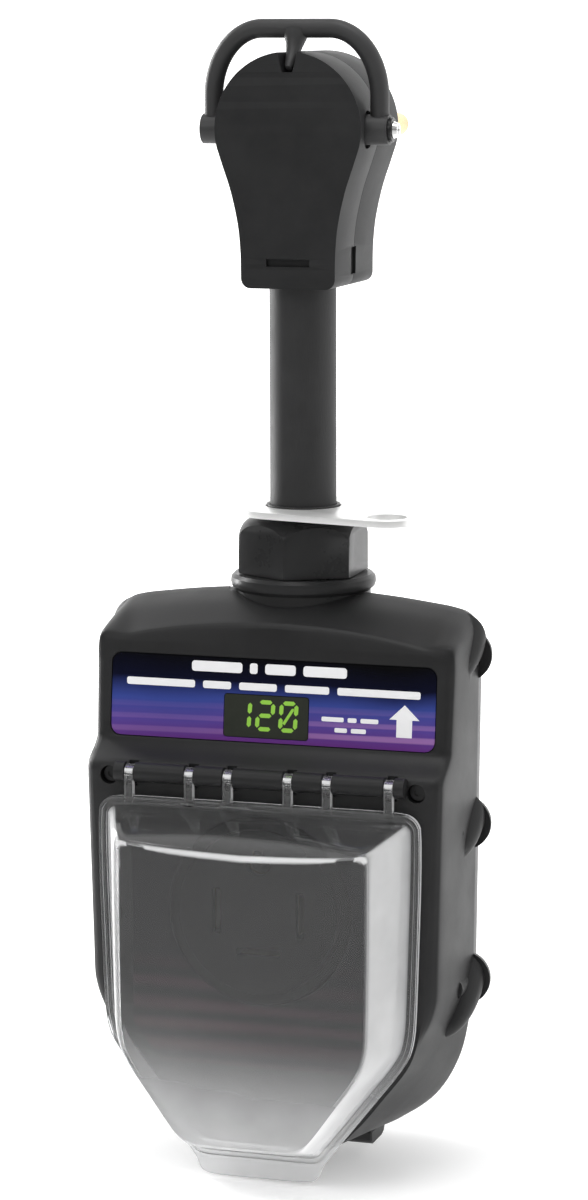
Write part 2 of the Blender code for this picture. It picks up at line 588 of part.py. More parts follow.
def front_rings(wall, start):
    rings = []
    for k, h in enumerate(FRONT_H):
        ring = []
        for x, z, w in seam_half():
            fx, fz = front_edge(x, z, w)
            v = min(1.0, max(0.0, (-336.0 - z) / 30.0))
            g = FRONT_TOP[k] * w + (FRONT_SIDE[k] + (FRONT_LOW[k] - FRONT_SIDE[k]) * v) * (1 - w)
            px, pz = x + (fx - x) * g, z + (fz - z) * g
            py = SEAM_Y + (face_y(fz) - SEAM_Y) * h + wall * h
            if wall:
                px *= 1 - wall / 76.0
                pz = CASE_MID_Z + (pz - CASE_MID_Z) * (1 - wall / 110.0)
            ring.append((px, py, pz))
        rings.append(ring)
    return [[(x, start, z) for x, y, z in rings[0]]] + rings[1:]


def back_rings(wall, start):
    rings = []
    for h, g in zip(BACK_H, BACK_G):
        ring = []
        for x, z, w in seam_half():
            k = 1 - (1 - 60.0 / 76.5) * g
            kz = 1 - 0.14 * g
            px, pz = x * k, CASE_MID_Z + (z - CASE_MID_Z) * kz
            py = SEAM_Y + (BACK_Y - SEAM_Y) * h - wall * h
            if wall:
                px *= 1 - wall / 76.0
                pz = CASE_MID_Z + (pz - CASE_MID_Z) * (1 - wall / 110.0)
            ring.append((px, py, pz))
        rings.append(ring)
    return [[(x, start, z) for x, y, z in rings[0]]] + rings[1:]


def loft(name, rings, mat, cap=True, cols=1):
    """Half of a closed loft, x >= 0, mirrored across x = 0.  The last ring is closed by rows to the centre line, or
    by one flat face when cols is 0."""
    bm = bmesh.new()
    n = len(rings[0])
    grid = [[bm.verts.new(P(*p)) for p in ring] for ring in rings]
    for a, b in zip(grid, grid[1:]):
        for i in range(n - 1):
            bm.faces.new((a[i], a[i + 1], b[i + 1], b[i]))

    def rows(ring, pts):
        if cols == 0:
            bm.faces.new(ring)
            return
        inner = []
        for i in range(n):
            x, y, z = pts[i]
            if i in (0, n - 1):
                inner.append([ring[i]])
                continue
            cells = [ring[i]]
            for c in range(1, cols + 1):
                f = 1 - c / cols
                cells.append(bm.verts.new(P(x * f, y, z)))
            inner.append(cells)
        for i in range(n - 1):
            a, b = inner[i], inner[i + 1]
            for c in range(cols):
                if len(a) == 1:
                    bm.faces.new((a[0], b[c], b[c + 1]))
                elif len(b) == 1:
                    bm.faces.new((a[c], b[0], a[c + 1]))
                else:
                    bm.faces.new((a[c], b[c], b[c + 1], a[c + 1]))

    rows(grid[-1], rings[-1])
    if cap:
        rows(grid[0], rings[0])
    ob = new_mesh(name, bm, mat)
    m = ob.modifiers.new("halves", 'MIRROR')
    m.use_axis = (True, False, False)
    m.merge_threshold = 0.00001
    m.use_mirror_merge = True
    ob = bake(ob)
    fix = bmesh.new()
    fix.from_mesh(ob.data)
    bmesh.ops.recalc_face_normals(fix, faces=fix.faces)
    fix.to_mesh(ob.data)
    fix.free()
    return ob


front = loft("case_front", front_rings(0.0, SEAM_Y + 2.0), BLACK)
front = add(front, solid("case_front_lugs", [
    (add_ball, (((s * LUG_X, SEAM_Y, z), (11.6, 21.0, 11.2)), {"u": 10, "v": 6})) for s in (1, -1) for z in LUG_Z]))
front = add(front, cyl("hinge_barrel", (-60.3, HINGE_Y, HINGE_Z), (60.3, HINGE_Y, HINGE_Z), 4.0, seg=16))
front = add(front, box("hinge_web", (-60.0, -91.8, -257.4), (60.0, -88.0, -251.2)))
front = cut(front, loft("case_front_cavity", front_rings(WALL, SEAM_Y + 8.0), None))
inner = [(add_cyl, (((s * SCREW_X, -38.0, z), (s * SCREW_X, -60.2, z), 4.7), {"seg": 10}))
         for s in (1, -1) for z in LUG_Z]
inner += [(add_cyl, (((s * 64.0, -88.4, -256.2), (s * 64.0, -77.0, -256.2), 5.2), {"seg": 12})) for s in (1, -1)]
front = add(front, solid("case_front_bosses", inner))
front = add(front, box("hinge_backing", (-58.2, -88.6, -261.5), (58.2, -84.0, -251.5)))
front = cut(front, box("seam_trim_front", (-120, SEAM_Y - GAP / 2, -430), (120, 0.0, -170)))
front = cut(front, cyl("gland_hole_front", (0, CABLE_Y, -199.4), (0, CABLE_Y, -175), NECK_R + GAP, seg=24))
front = cut(front, cyl("collar_seat_front", (0, CABLE_Y, -186.2), (0, CABLE_Y, -170), COLLAR_R + 0.7, seg=28))


def tilted(name, loops, lo, hi, mat=None):
    """Outline about the label's centre, extruded along the label panel's outward normal."""
    ob = plate(name, loops, lo, hi, 'XY', mat)
    ob.matrix_world = Matrix.Translation(P(0, face_y(LABEL_Z), LABEL_Z)) \
        @ Matrix.Rotation(math.radians(LABEL_TILT), 4, 'X') @ Matrix.Translation((0, 0, (lo + hi) / 2 * MM))
    return ob


WIN = (-20.1, -15.0, 15.7, 2.5)
lab = rounded(-67.8, -16.6, 67.8, 16.6, 4.0)
win = rounded(*WIN, 1.2, 2)
front = cut(front, tilted("label_recess", [rounded(-68.2, -17.0, 68.2, 17.0, 4.4)], -1.2, 4.0))
front = cut(front, tilted("window_hole", [rounded(WIN[0] + 0.9, WIN[1] + 0.9, WIN[2] - 0.9, WIN[3] - 0.9, 1.0, 2)],
                          -8.0, 4.0))
front = cut(front, solid("case_front_holes", [
    (add_cyl, (((0, -100, OUTLET_Z), (0, -80, OUTLET_Z), OUTLET_R + GAP), {"seg": 28})),
    (add_cyl, (((-58.3, HINGE_Y, HINGE_Z), (58.3, HINGE_Y, HINGE_Z), 1.8), {"seg": 8}))] + [
    (add_cyl, (((s * 64.0, -100.0, -256.2), (s * 64.0, -85.4, -256.2), 3.75), {"seg": 14})) for s in (1, -1)] + [
    (add_cyl, (((s * SCREW_X, -30.0, z), (s * SCREW_X, -59.2, z), 1.8), {"seg": 8}))
    for s in (1, -1) for z in LUG_Z]))
front = cut(front, solid("case_front_shanks", [
    (add_cyl, (((s * 64.0, -90.0, -256.2), (s * 64.0, -70, -256.2), 1.7), {"seg": 8})) for s in (1, -1)]))
front = cut(front, solid("hinge_slots", [
    (add_box, (((x - 2.1, -98.0, -259.6), (x + 2.1, -87.6, -248.6)), {})) for x in SLOT_X]))

rear = loft("case_back", back_rings(0.0, SEAM_Y - 2.0), BLACK)
rear = add(rear, solid("case_back_lugs", [
    (add_ball, (((s * LUG_X, SEAM_Y, z), (11.6, 12.0, 11.2)), {"u": 10, "v": 6})) for s in (1, -1) for z in LUG_Z]))
rear = cut(rear, loft("case_back_cavity", back_rings(WALL, SEAM_Y - 8.0), None))
rear = add(rear, solid("case_back_bosses", [
    (add_cyl, (((s * SCREW_X, -45.0, z), (s * SCREW_X, -31.5, z), 4.6), {"seg": 10})) for s in (1, -1) for z in LUG_Z]))
rear = cut(rear, box("seam_trim_back", (-120, -80.0, -430), (120, SEAM_Y + GAP / 2, -170)))
rear = cut(rear, cyl("gland_hole_back", (0, CABLE_Y, -199.4), (0, CABLE_Y, -175), NECK_R + GAP, seg=24))
rear = cut(rear, cyl("collar_seat_back", (0, CABLE_Y, -186.2), (0, CABLE_Y, -170), COLLAR_R + 0.7, seg=28))
rear = cut(rear, solid("case_back_recess", [
    (add_cyl, (((s * SCREW_X, -35.2, z), (s * SCREW_X, -15.0, z), 3.3), {"seg": 10})) for s in (1, -1) for z in LUG_Z]))
rear = cut(rear, solid("case_back_shanks", [
    (add_cyl, (((s * SCREW_X, -50.0, z), (s * SCREW_X, -30.0, z), 1.8), {"seg": 8}))
    for s in (1, -1) for z in LUG_Z]))
rear = cut(rear, plate("back_panel_recess", [rounded(-46, -372, 46, -222, 6, 3)], BACK_Y - 1.0, BACK_Y + 5, 'XZ'))

for i, (s, z) in enumerate([(s, z) for s in (-1, 1) for z in LUG_Z]):
    x = s * SCREW_X
    sc = cyl("case_screw_%d" % (i + 1), (x, -57.0, z), (x, -33.8, z), 1.5, seg=8, mat=STEEL)
    sc = add(sc, cyl("case_screw_cap_%d" % i, (x, -34.9, z), (x, -32.6, z), 2.9, 2.4, seg=10))
    cut(sc, cyl("case_screw_drive_%d" % i, (x, -33.6, z), (x, -30, z), 1.3, seg=6))


def band(out, depth0, depth1):
    """An open band that follows the seam outline from one side of the gland round to the other."""
    pts = [(x, z) for x, z, w in seam_half()]
    full = pts + [(-x, z) for x, z in reversed(pts[1:-1])]
    full = full[::-1]
    a, b = inset(full, depth0), inset(full, depth1)
    keep = [i for i, (x, z) in enumerate(full) if not (z > -189 and abs(x) < 31)]
    start = next(k for k in range(len(keep)) if keep[k] != keep[k - 1] + 1) if 0 in keep else 0
    keep = keep[start:] + keep[:start]
    return [a[i] for i in keep] + [b[i] for i in reversed(keep)]


groove = plate("gasket_groove", [band(None, 0.75, 2.35)], SEAM_Y - 1.9, SEAM_Y + 1.0, 'XZ')
front = cut(front, groove)
gasket = plate("case_gasket", [band(None, 1.05, 2.05)], SEAM_Y - 1.6, SEAM_Y - GAP / 2, 'XZ', RUBBER)

front = flatten(front)
rear = flatten(rear)

# label and readout
label = tilted("label_overlay", [lab, win], -0.9, -0.2, LABEL)
window = tilted("display_window", [rounded(WIN[0] + 0.3, WIN[1] + 0.3, WIN[2] - 0.3, WIN[3] - 0.3, 1.0, 2)],
                -0.9, -0.1, SMOKED)
module = tilted("display_module", [rounded(WIN[0] + 1.5, WIN[1] + 1.5, WIN[2] - 1.5, WIN[3] - 1.5, 0.6, 1)],
                -8.5, -1.3, THERMO)
board = tilted("control_board", [rounded(-52, -24.0, 52, 12.0, 2.0, 2)], -10.4, -8.8, BOARD)

# ------------------------------------------------------------------ inside the case
for name, s in (("contactor_1", -1), ("contactor_2", 1)):
    c = box(name, (min(s * 13, s * 55), -46.0, -268.0), (max(s * 13, s * 55), -14.0, -228.4), DEVICE)
    c = add(c, solid(name + "_ledge", [(add_box, (((min(s * 15, s * 53), -50.5, -262.0),
                                                   (max(s * 15, s * 53), -40.0, -236.0)), {}))]))
    bevel(c, 0.8, 1)
tr = box("power_transformer", (-60.0, -50.0, -338.0), (-38.0, -16.0, -298.0), DEVICE)
tr = add(tr, box("transformer_coil", (-58.0, -56.0, -331.0), (-40.0, -20.0, -305.0)))
bevel(tr, 0.8, 1)
sm = box("surge_module", (38.0, -52.0, -338.0), (60.0, -16.0, -298.0), THERMO)
sm = cut(sm, solid("surge_fins", [(add_box, (((30.0, -60.0, -334.0 + 8 * i), (70.0, -47.0, -330.0 + 8 * i)), {}))
                                  for i in range(5)]))

# ------------------------------------------------------------------ outlet
FACE_Y = -93.4
body = cyl("outlet_body", (0, -61.0, OUTLET_Z), (0, FACE_Y, OUTLET_Z), OUTLET_R, seg=28, mat=THERMO)
pockets = []
for s in (1, -1):
    x = s * LINE_Z
    pockets += [(add_box, (((x - 1.6, -99, OUTLET_Z - 9.1), (x + 1.6, -89.0, OUTLET_Z + 9.1)), {}))]
pockets += [(add_box, (((-9.1, -99, OUTLET_Z - 17.6), (9.1, -89.0, OUTLET_Z - 14.4)), {}))]
pockets += [(add_cyl, (((0, -99, OUTLET_Z + 20.6), (0, -66.0, OUTLET_Z + 20.6), 5.1), {"seg": 12}))]
body = cut(body, solid("outlet_slots", pockets))
wide = []
for s in (1, -1):
    x = s * LINE_Z
    wide += [(add_box, (((x - 3.1, -90.2, OUTLET_Z - 9.5), (x + 3.1, -66.0, OUTLET_Z + 9.5)), {}))]
wide += [(add_box, (((-9.5, -90.2, OUTLET_Z - 19.1), (9.5, -66.0, OUTLET_Z - 12.9)), {}))]
wide += [(add_cyl, (((0, -90.2, OUTLET_Z + 20.6), (0, -67.0, OUTLET_Z + 20.6), 6.3), {"seg": 12}))]
body = cut(body, solid("outlet_pockets", wide))


def channel(name, centre, along):
    """Spring contact: two leaves joined at the back."""
    u = [(-2.7, -67.0), (-2.7, -89.0), (-1.7, -89.0), (-1.7, -68.2), (1.7, -68.2), (1.7, -89.0), (2.7, -89.0),
         (2.7, -67.0)]
    if along == 'Z':
        return plate(name, [[(centre[0] + a, b) for a, b in u]], centre[1] - 8.6, centre[1] + 8.6, 'XY', BRASS)
    return plate(name, [[(b, centre[1] + a) for a, b in u]], centre[0] - 8.6, centre[0] + 8.6, 'YZ', BRASS)


channel("outlet_contact_line_1", (LINE_Z, OUTLET_Z), 'Z')
channel("outlet_contact_line_2", (-LINE_Z, OUTLET_Z), 'Z')
channel("outlet_contact_neutral", (0, OUTLET_Z - 16.0), 'X')
gc = turned("outlet_contact_ground", [(4.9, 0), (5.9, 0), (5.9, -20.0), (4.9, -20.0)], (0, 0), BRASS, 14)
gc.matrix_world = Matrix.Translation(P(0, -88.6, OUTLET_Z + 20.6)) @ Matrix.Rotation(math.pi / 2, 4, 'X')
bz = turned("outlet_bezel", [(33.3, 2.4), (35.6, 2.4), (37.4, 1.5), (BEZEL_R, 0.0), (33.3, 0.0)], (0, 0), THERMO, 28)
bz.matrix_world = Matrix.Translation(P(0, PANEL_Y - GAP, OUTLET_Z)) @ Matrix.Rotation(math.pi / 2, 4, 'X')
card = plate("outlet_label", [[(53.0, -284.0), (54.0, -285.0), (54.0, -357.0), (42.5, -372.0), (-42.5, -372.0),
                             (-54.0, -357.0), (-54.0, -285.0), (-53.0, -284.0)]], PANEL_Y - GAP - 0.5, PANEL_Y - GAP, 'XZ',
             LABEL)
cut(card, cyl("card_hole", (0, -80, OUTLET_Z), (0, -100, OUTLET_Z), BEZEL_R + GAP, seg=28))

for s, side_name in ((-1, "left"), (1, "right")):
    ps = cyl("panel_screw_" + side_name, (s * 64.0, -87.0, -256.2), (s * 64.0, -74.5, -256.2), 1.4, seg=8, mat=GLOSS)
    ps = add(ps, cyl("panel_cap_" + side_name, (s * 64.0, -87.6, -256.2), (s * 64.0, -85.8, -256.2), 3.2, 3.2, seg=12))
    cut(ps, cyl("panel_drive_" + side_name, (s * 64.0, -90.0, -256.2), (s * 64.0, -86.9, -256.2), 1.5, seg=6))
    foot = plate("foot_" + side_name, [[(-50.0, -407.95), (-40.0, -407.95), (-30.0, -405.9), (-29.4, -409.5),
                                       (-31.4, -413.0), (-35.0, -414.2), (-46.0, -414.2), (-49.6, -412.4)]],
                 min(s * 22.0, s * 34.0), max(s * 22.0, s * 34.0), 'YZ', RUBBER)
    bevel(foot, 0.7, 1)

# ------------------------------------------------------------------ clear cover
FLANGE_Y = -94.6
CROWN_Y = -117.5
SHEET = 1.9


def flange_half(d):
    """Right half of the flange outline, moved in by d, top centre to bottom centre."""
    pts = [(0.0, -263.2), (30.0, -263.2)]
    pts += [(59.6 + 8.0 * math.sin(a), -271.2 + 8.0 * math.cos(a)) for a in [math.radians(t) for t in (0, 45, 90)]]
    pts += [(65.5, -343.0), (64.6, -356.0), (61.5, -365.3), (45.0, -386.5)]
    tab = [(27.4, -409.0), (26.2, -411.0), (24.6, -415.6), (20.0, -417.2), (0.0, -417.2)]
    bottom = [(28.9, -407.1), (26.4, -409.3), (22.8, -410.2), (17.5, -410.3), (0.0, -410.3)]
    if d == 0.0:
        return pts + tab
    full = pts + bottom
    loop = full + [(-x, z) for x, z in reversed(full[1:-1])]
    loop = inset(loop[::-1], d)[::-1]
    return [(max(0.0, x), z) for x, z in loop[:len(full)]][:-1] + [(0.0, loop[len(full) - 1][1])]


def crown_half():
    top = [(0.0, -281.0), (28.0, -279.9), (44.5, -277.2), (49.6, -277.0), (51.0, -282.0)]
    low = [(51.0, -346.0), (50.4, -357.0), (47.4, -366.3), (38.2, -379.2)]
    low += [(29.6, -391.3), (25.9, -395.4), (20.6, -397.4), (14.5, -397.8), (0.0, -397.8)]
    return top + low


def cover_rings():
    inner = flange_half(5.2)
    inner[0] = (0.0, inner[1][1])
    crown = crown_half()
    rings = [[(x, FLANGE_Y, z) for x, z in flange_half(0.0)],
             [(x, FLANGE_Y, z) for x, z in flange_half(3.8)],
             [(x, FLANGE_Y - 1.3, z) for x, z in inner]]
    for g, h in ((0.60, 0.72), (0.84, 0.94)):
        rings.append([(a[0] + (b[0] - a[0]) * g, FLANGE_Y - 1.3 + (CROWN_Y - FLANGE_Y + 1.3) * h,
                       a[1] + (b[1] - a[1]) * g) for a, b in zip(inner, crown)])
    rings.append([(x, CROWN_Y, z) for x, z in crown])
    return rings


cover = loft("outlet_cover", cover_rings(), CLEAR, cap=False, cols=0)
sh = cover.modifiers.new("sheet", 'SOLIDIFY')
sh.thickness = SHEET * MM
sh.offset = -1.0
sh.use_even_offset = True
cover = bake(cover)
eye = arc(HINGE_Y, HINGE_Z, 3.2, -97.2, 180.0, 8)
arm = eye + [(-95.4, -256.0), (-95.4, -266.0), (-92.4, -266.0)]
for i, x in enumerate(SLOT_X):
    lug = plate("cover_lug_%d" % i, [arm, ring2(HINGE_Y, HINGE_Z, 1.8, 8)], x - 1.7, x + 1.7, 'YZ')
    cover = add(cover, lug)
set_origin(cover, 0, HINGE_Y, HINGE_Z)
cyl("hinge_pin", (-58.0, HINGE_Y, HINGE_Z), (58.0, HINGE_Y, HINGE_Z), 1.5, seg=8, mat=STEEL)


def loop_of(half):
    return (half + [(-x, z) for x, z in reversed(half[1:-1])])[::-1]


outer_seal = [(x, max(z, -402.6)) for x, z in flange_half(1.0)[:-4]] + [(0.0, -402.6)]
inner_seal = [(x, max(z, -399.4)) for x, z in flange_half(4.2)[:-4]] + [(0.0, -399.4)]
flange_seal = plate("cover_gasket", [loop_of(outer_seal), loop_of(inner_seal)], PANEL_Y - 2.1,
                    PANEL_Y - GAP, 'XZ', RUBBER)
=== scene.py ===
import json
import math

import bmesh
import bpy
from mathutils import Matrix, Vector

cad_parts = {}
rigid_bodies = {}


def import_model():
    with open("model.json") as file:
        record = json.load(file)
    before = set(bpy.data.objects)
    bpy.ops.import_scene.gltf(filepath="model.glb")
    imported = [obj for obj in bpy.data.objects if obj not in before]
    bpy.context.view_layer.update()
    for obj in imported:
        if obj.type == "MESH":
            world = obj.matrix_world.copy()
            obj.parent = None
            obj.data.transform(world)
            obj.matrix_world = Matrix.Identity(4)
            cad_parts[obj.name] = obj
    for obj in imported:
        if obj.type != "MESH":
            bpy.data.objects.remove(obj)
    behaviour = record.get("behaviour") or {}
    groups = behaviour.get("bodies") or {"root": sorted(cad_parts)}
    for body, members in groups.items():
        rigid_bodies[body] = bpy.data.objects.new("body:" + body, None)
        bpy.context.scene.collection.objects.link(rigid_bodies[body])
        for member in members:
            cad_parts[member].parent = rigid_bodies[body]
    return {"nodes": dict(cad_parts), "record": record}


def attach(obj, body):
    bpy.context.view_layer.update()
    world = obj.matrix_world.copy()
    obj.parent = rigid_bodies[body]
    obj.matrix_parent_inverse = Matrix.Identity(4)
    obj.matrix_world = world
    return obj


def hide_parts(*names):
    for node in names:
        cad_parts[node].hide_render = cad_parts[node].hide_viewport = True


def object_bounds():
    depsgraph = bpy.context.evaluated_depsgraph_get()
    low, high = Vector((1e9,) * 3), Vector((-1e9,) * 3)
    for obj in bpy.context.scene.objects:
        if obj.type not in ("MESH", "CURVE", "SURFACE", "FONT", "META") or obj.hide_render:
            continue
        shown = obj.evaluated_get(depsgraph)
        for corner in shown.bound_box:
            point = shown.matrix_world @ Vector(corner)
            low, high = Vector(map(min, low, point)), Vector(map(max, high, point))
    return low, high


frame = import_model()
CAD_BOX = [list(c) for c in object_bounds()]
NODES = frame["nodes"]
BODY = {n: b for b, members in frame["record"]["behaviour"]["bodies"].items() for n in members}

# ------------------------------------------------------------------ camera
YAW, PITCH, ROLL = 0.3095, 0.1592, -0.0030
fw = Vector((-math.sin(YAW) * math.cos(PITCH), math.cos(YAW) * math.cos(PITCH), -math.sin(PITCH)))
rt = Vector((math.cos(YAW), math.sin(YAW), 0.0))
up = rt.cross(fw)
rt2 = rt * math.cos(ROLL) + up * math.sin(ROLL)
up2 = -rt * math.sin(ROLL) + up * math.cos(ROLL)
cam_data = bpy.data.cameras.new("camera")
cam_data.lens = 110.2
cam_data.sensor_width = 36.0
cam_data.clip_start, cam_data.clip_end = 0.05, 50.0
cam = bpy.data.objects.new("camera", cam_data)
bpy.context.scene.collection.objects.link(cam)
cam.matrix_world = Matrix(((rt2.x, up2.x, -fw.x, 0.44724), (rt2.y, up2.y, -fw.y, -1.44954),
                           (rt2.z, up2.z, -fw.z, 0.04675), (0, 0, 0, 1)))
bpy.context.scene.camera = cam


MM = 0.001
GAP = 0.3            # clearance between pieces that touch

# plug head
FACE_RISE = 5.0      # raised contact face above the head's back
HEAD_R = 30.4
HEAD_CZ = 0.3
HEAD_FRONT = -53.0
HEAD_SEAM = -27.6
HEAD_BOTTOM = -62.8
HEAD_WALL = 2.6
BLADE_LEN = 25.4
BLADE_W = 17.3
BLADE_T = 2.4
LINE_Z = 17.45       # half the spacing of the line blades
NEUTRAL_X = -16.0
GROUND_X = 20.6
GROUND_R = 4.75
GROUND_LEN = 31.0
# bail
PIVOT_Y = -41.0
ARM_X = 34.6
BAIL_TOP = 39.7
ROD_R = 3.8
KNUCKLE_R = 6.0
# cable, lock plate and gland
CABLE_Y = -33.0
CABLE_R = 13.5
PLATE_TOP = -151.8
PLATE_T = 2.6
PLATE_ANGLE = -31.0
NUT_TOP = -156.3
NUT_BOTTOM = -179.0
NUT_R = 27.0
COLLAR_R = 29.7
NECK_R = 27.5
# case
SEAM_Y = -41.6
BACK_Y = -2.0
PANEL_Y = -90.3      # lower front panel
CASE_MID_Z = -298.0
WALL = 3.0
WELD = 4e-7          # metres: closer points are one point
LUG_Z = (-208.5, -277.5, -342.0)
LUG_X = 70.0
SCREW_X = 70.5
HINGE_Y = -92.0
HINGE_Z = -254.0
SLOT_X = (-54.0, -28.7, -12.5, 12.5, 28.7, 54.0)
OUTLET_Z = -308.0
OUTLET_R = 33.0
BEZEL_R = 38.0
LABEL_TILT = 84.0
LABEL_Z = -225.5


PART = bpy.data.collections.new("fine_pieces")
TOOLS = bpy.data.collections.new("cutters")
bpy.context.scene.collection.children.link(PART)
bpy.context.scene.collection.children.link(TOOLS)



# ------------------------------------------------------------------ helpers
def P(x, y, z):
    return Vector((x * MM, (y - FACE_RISE) * MM, z * MM))



# ------------------------------------------------------------------ materials
class Nodes:
    """A short way to write a node tree."""

    def __init__(self, name):
        self.m = bpy.data.materials.new(name)
        self.m.use_nodes = True
        self.t = self.m.node_tree
        self.b = self.t.nodes["Principled BSDF"]
        self.pos = self.new("ShaderNodeTexCoord").outputs["Object"]

    def new(self, kind, **values):
        n = self.t.nodes.new(kind)
        for k, v in values.items():
            setattr(n, k, v)
        return n

    def feed(self, socket, value):
        if isinstance(value, bpy.types.NodeSocket):
            self.t.links.new(value, socket)
        else:
            socket.default_value = value

    def math(self, op, a, b=0.0, clamp=False):
        n = self.new("ShaderNodeMath", operation=op, use_clamp=clamp)
        self.feed(n.inputs[0], a)
        self.feed(n.inputs[1], b)
        return n.outputs[0]

    def scaled(self, sx, sy, sz, turn=(0, 0, 0)):
        n = self.new("ShaderNodeMapping")
        self.feed(n.inputs["Vector"], self.pos)
        n.inputs["Scale"].default_value = (sx, sy, sz)
        n.inputs["Rotation"].default_value = turn
        return n.outputs[0]

    def noise(self, scale, detail=3.0, rough=0.55, vector=None, distortion=0.0):
        n = self.new("ShaderNodeTexNoise")
        self.feed(n.inputs["Vector"], vector if vector is not None else self.pos)
        n.inputs["Scale"].default_value = scale
        n.inputs["Detail"].default_value = detail
        n.inputs["Roughness"].default_value = rough
        n.inputs["Distortion"].default_value = distortion
        return n.outputs["Fac"]

    def span(self, value, a, b, lo, hi, smooth=False):
        n = self.new("ShaderNodeMapRange", clamp=True, interpolation_type='SMOOTHSTEP' if smooth else 'LINEAR')
        self.feed(n.inputs["Value"], value)
        for k, v in zip(("From Min", "From Max", "To Min", "To Max"), (a, b, lo, hi)):
            n.inputs[k].default_value = v
        return n.outputs[0]

    def mix(self, f, a, b):
        n = self.new("ShaderNodeMix", data_type='RGBA')
        self.feed(n.inputs[0], f)
        self.feed(n.inputs[6], a if isinstance(a, bpy.types.NodeSocket) else (*a, 1.0))
        self.feed(n.inputs[7], b if isinstance(b, bpy.types.NodeSocket) else (*b, 1.0))
        return n.outputs[2]

    def ramp(self, value, stops):
        n = self.new("ShaderNodeValToRGB")
        self.feed(n.inputs[0], value)
        e = n.color_ramp.elements
        while len(e) < len(stops):
            e.new(0.5)
        for s, (p, c) in zip(e, stops):
            s.position = p
            s.color = (*c, 1.0)
        return n.outputs["Color"]

    def xyz(self):
        n = self.new("ShaderNodeSeparateXYZ")
        self.feed(n.inputs[0], self.pos)
        return n.outputs

    def bump(self, height, strength, distance=0.0002):
        n = self.new("ShaderNodeBump")
        self.feed(n.inputs["Height"], height)
        n.inputs["Strength"].default_value = strength
        n.inputs["Distance"].default_value = distance
        self.feed(self.b.inputs["Normal"], n.outputs[0])
        return n

    def edge(self):
        """High on convex edges."""
        return self.span(self.new("ShaderNodeNewGeometry").outputs["Pointiness"], 0.505, 0.56, 0.0, 1.0)


def tone(c, k):
    return tuple(min(1.0, x * k) for x in c)


def surface(name, color, rough, metal=0.0, coat=0.0, grain=1100.0, bump=0.12, mottle=45.0, vary=0.18, wear=0.0,
            stretch=None, coat_rough=0.05, spec=0.5):
    """Moulded or drawn surface: fine grain in the relief, slow changes of tone and gloss, paler edges."""
    n = Nodes(name)
    b = n.b
    b.inputs["Metallic"].default_value = metal
    b.inputs["Coat Weight"].default_value = coat
    b.inputs["Coat Roughness"].default_value = coat_rough
    b.inputs["Specular IOR Level"].default_value = spec
    slow = n.noise(mottle, 4.0, 0.6)
    fine = n.noise(grain, 3.0, 0.6, n.scaled(*stretch) if stretch else None)
    col = n.mix(n.span(slow, 0.3, 0.7, 0.0, 1.0), tone(color, 1 - vary), tone(color, 1 + vary))
    col = n.mix(n.math('MULTIPLY', fine, 0.12), col, tone(color, 1.7))
    if wear:
        col = n.mix(n.math('MULTIPLY', n.edge(), wear), col, tone(color, 4.0))
    n.feed(b.inputs["Base Color"], col)
    r = n.math('ADD', n.span(slow, 0.25, 0.75, rough * 0.88, rough * 1.14), n.math('MULTIPLY', fine, rough * 0.10))
    n.feed(b.inputs["Roughness"], r)
    n.bump(fine, bump)
    return n.m


BLACK = surface("moulded_black", (0.0145, 0.0145, 0.0150), 0.43, grain=1500.0, bump=0.16, wear=0.10, spec=0.30)
HEADBLACK = surface("head_black", (0.0250, 0.0252, 0.0257), 0.47, grain=1800.0, bump=0.12, wear=0.10, spec=0.13)
GLOSS = surface("gloss_black", (0.017, 0.017, 0.0175), 0.24, coat=0.05, grain=700.0, bump=0.05, wear=0.05, spec=0.22)
GLANDBLACK = surface("gland_black", (0.027, 0.027, 0.0275), 0.28, coat=0.0, grain=700.0, bump=0.05, wear=0.05, spec=0.14)
RUBBER = surface("cable_rubber", (0.024, 0.024, 0.0245), 0.55, grain=1300.0, bump=0.30, vary=0.25,
                 stretch=(1.0, 1.0, 0.25), spec=0.4)
BUSH = surface("bush_black", (0.032, 0.032, 0.032), 0.45, grain=1300.0, bump=0.15)
STEEL = surface("polished_steel", (0.83, 0.83, 0.82), 0.13, 1.0, grain=2500.0, bump=0.03, vary=0.04,
                stretch=(0.06, 1.0, 1.0))
PLATED = surface("plated_sheet", (0.88, 0.88, 0.87), 0.34, 0.55, grain=2500.0, bump=0.03, vary=0.04,
                 stretch=(0.06, 1.0, 1.0))
BAILBLACK = surface("bail_black", (0.032, 0.032, 0.0325), 0.46, grain=1500.0, bump=0.14, wear=0.10, spec=0.5)
# painted shade: a darkened copy of the brass, for the outlet contacts behind the cover
DARK_BRASS = surface("shaded_brass", (0.10, 0.075, 0.035), 0.40, 1.0, grain=1800.0, bump=0.06, stretch=(1.0, 0.1, 1.0))
BRASS = surface("brass", (0.80, 0.58, 0.22), 0.24, 1.0, grain=1800.0, bump=0.06, vary=0.10, stretch=(1.0, 0.1, 1.0))
COPPER = surface("wire_insulation", (0.45, 0.08, 0.06), 0.45, grain=900.0, bump=0.10)
BOARD = surface("circuit_board", (0.03, 0.22, 0.10), 0.40, grain=600.0, bump=0.25, vary=0.30)
DEVICE = surface("relay_case", (0.55, 0.56, 0.58), 0.45, grain=900.0, bump=0.20)
THERMO = surface("thermoset", (0.0045, 0.0045, 0.0047), 0.55, grain=1300.0, bump=0.15, spec=0.08)


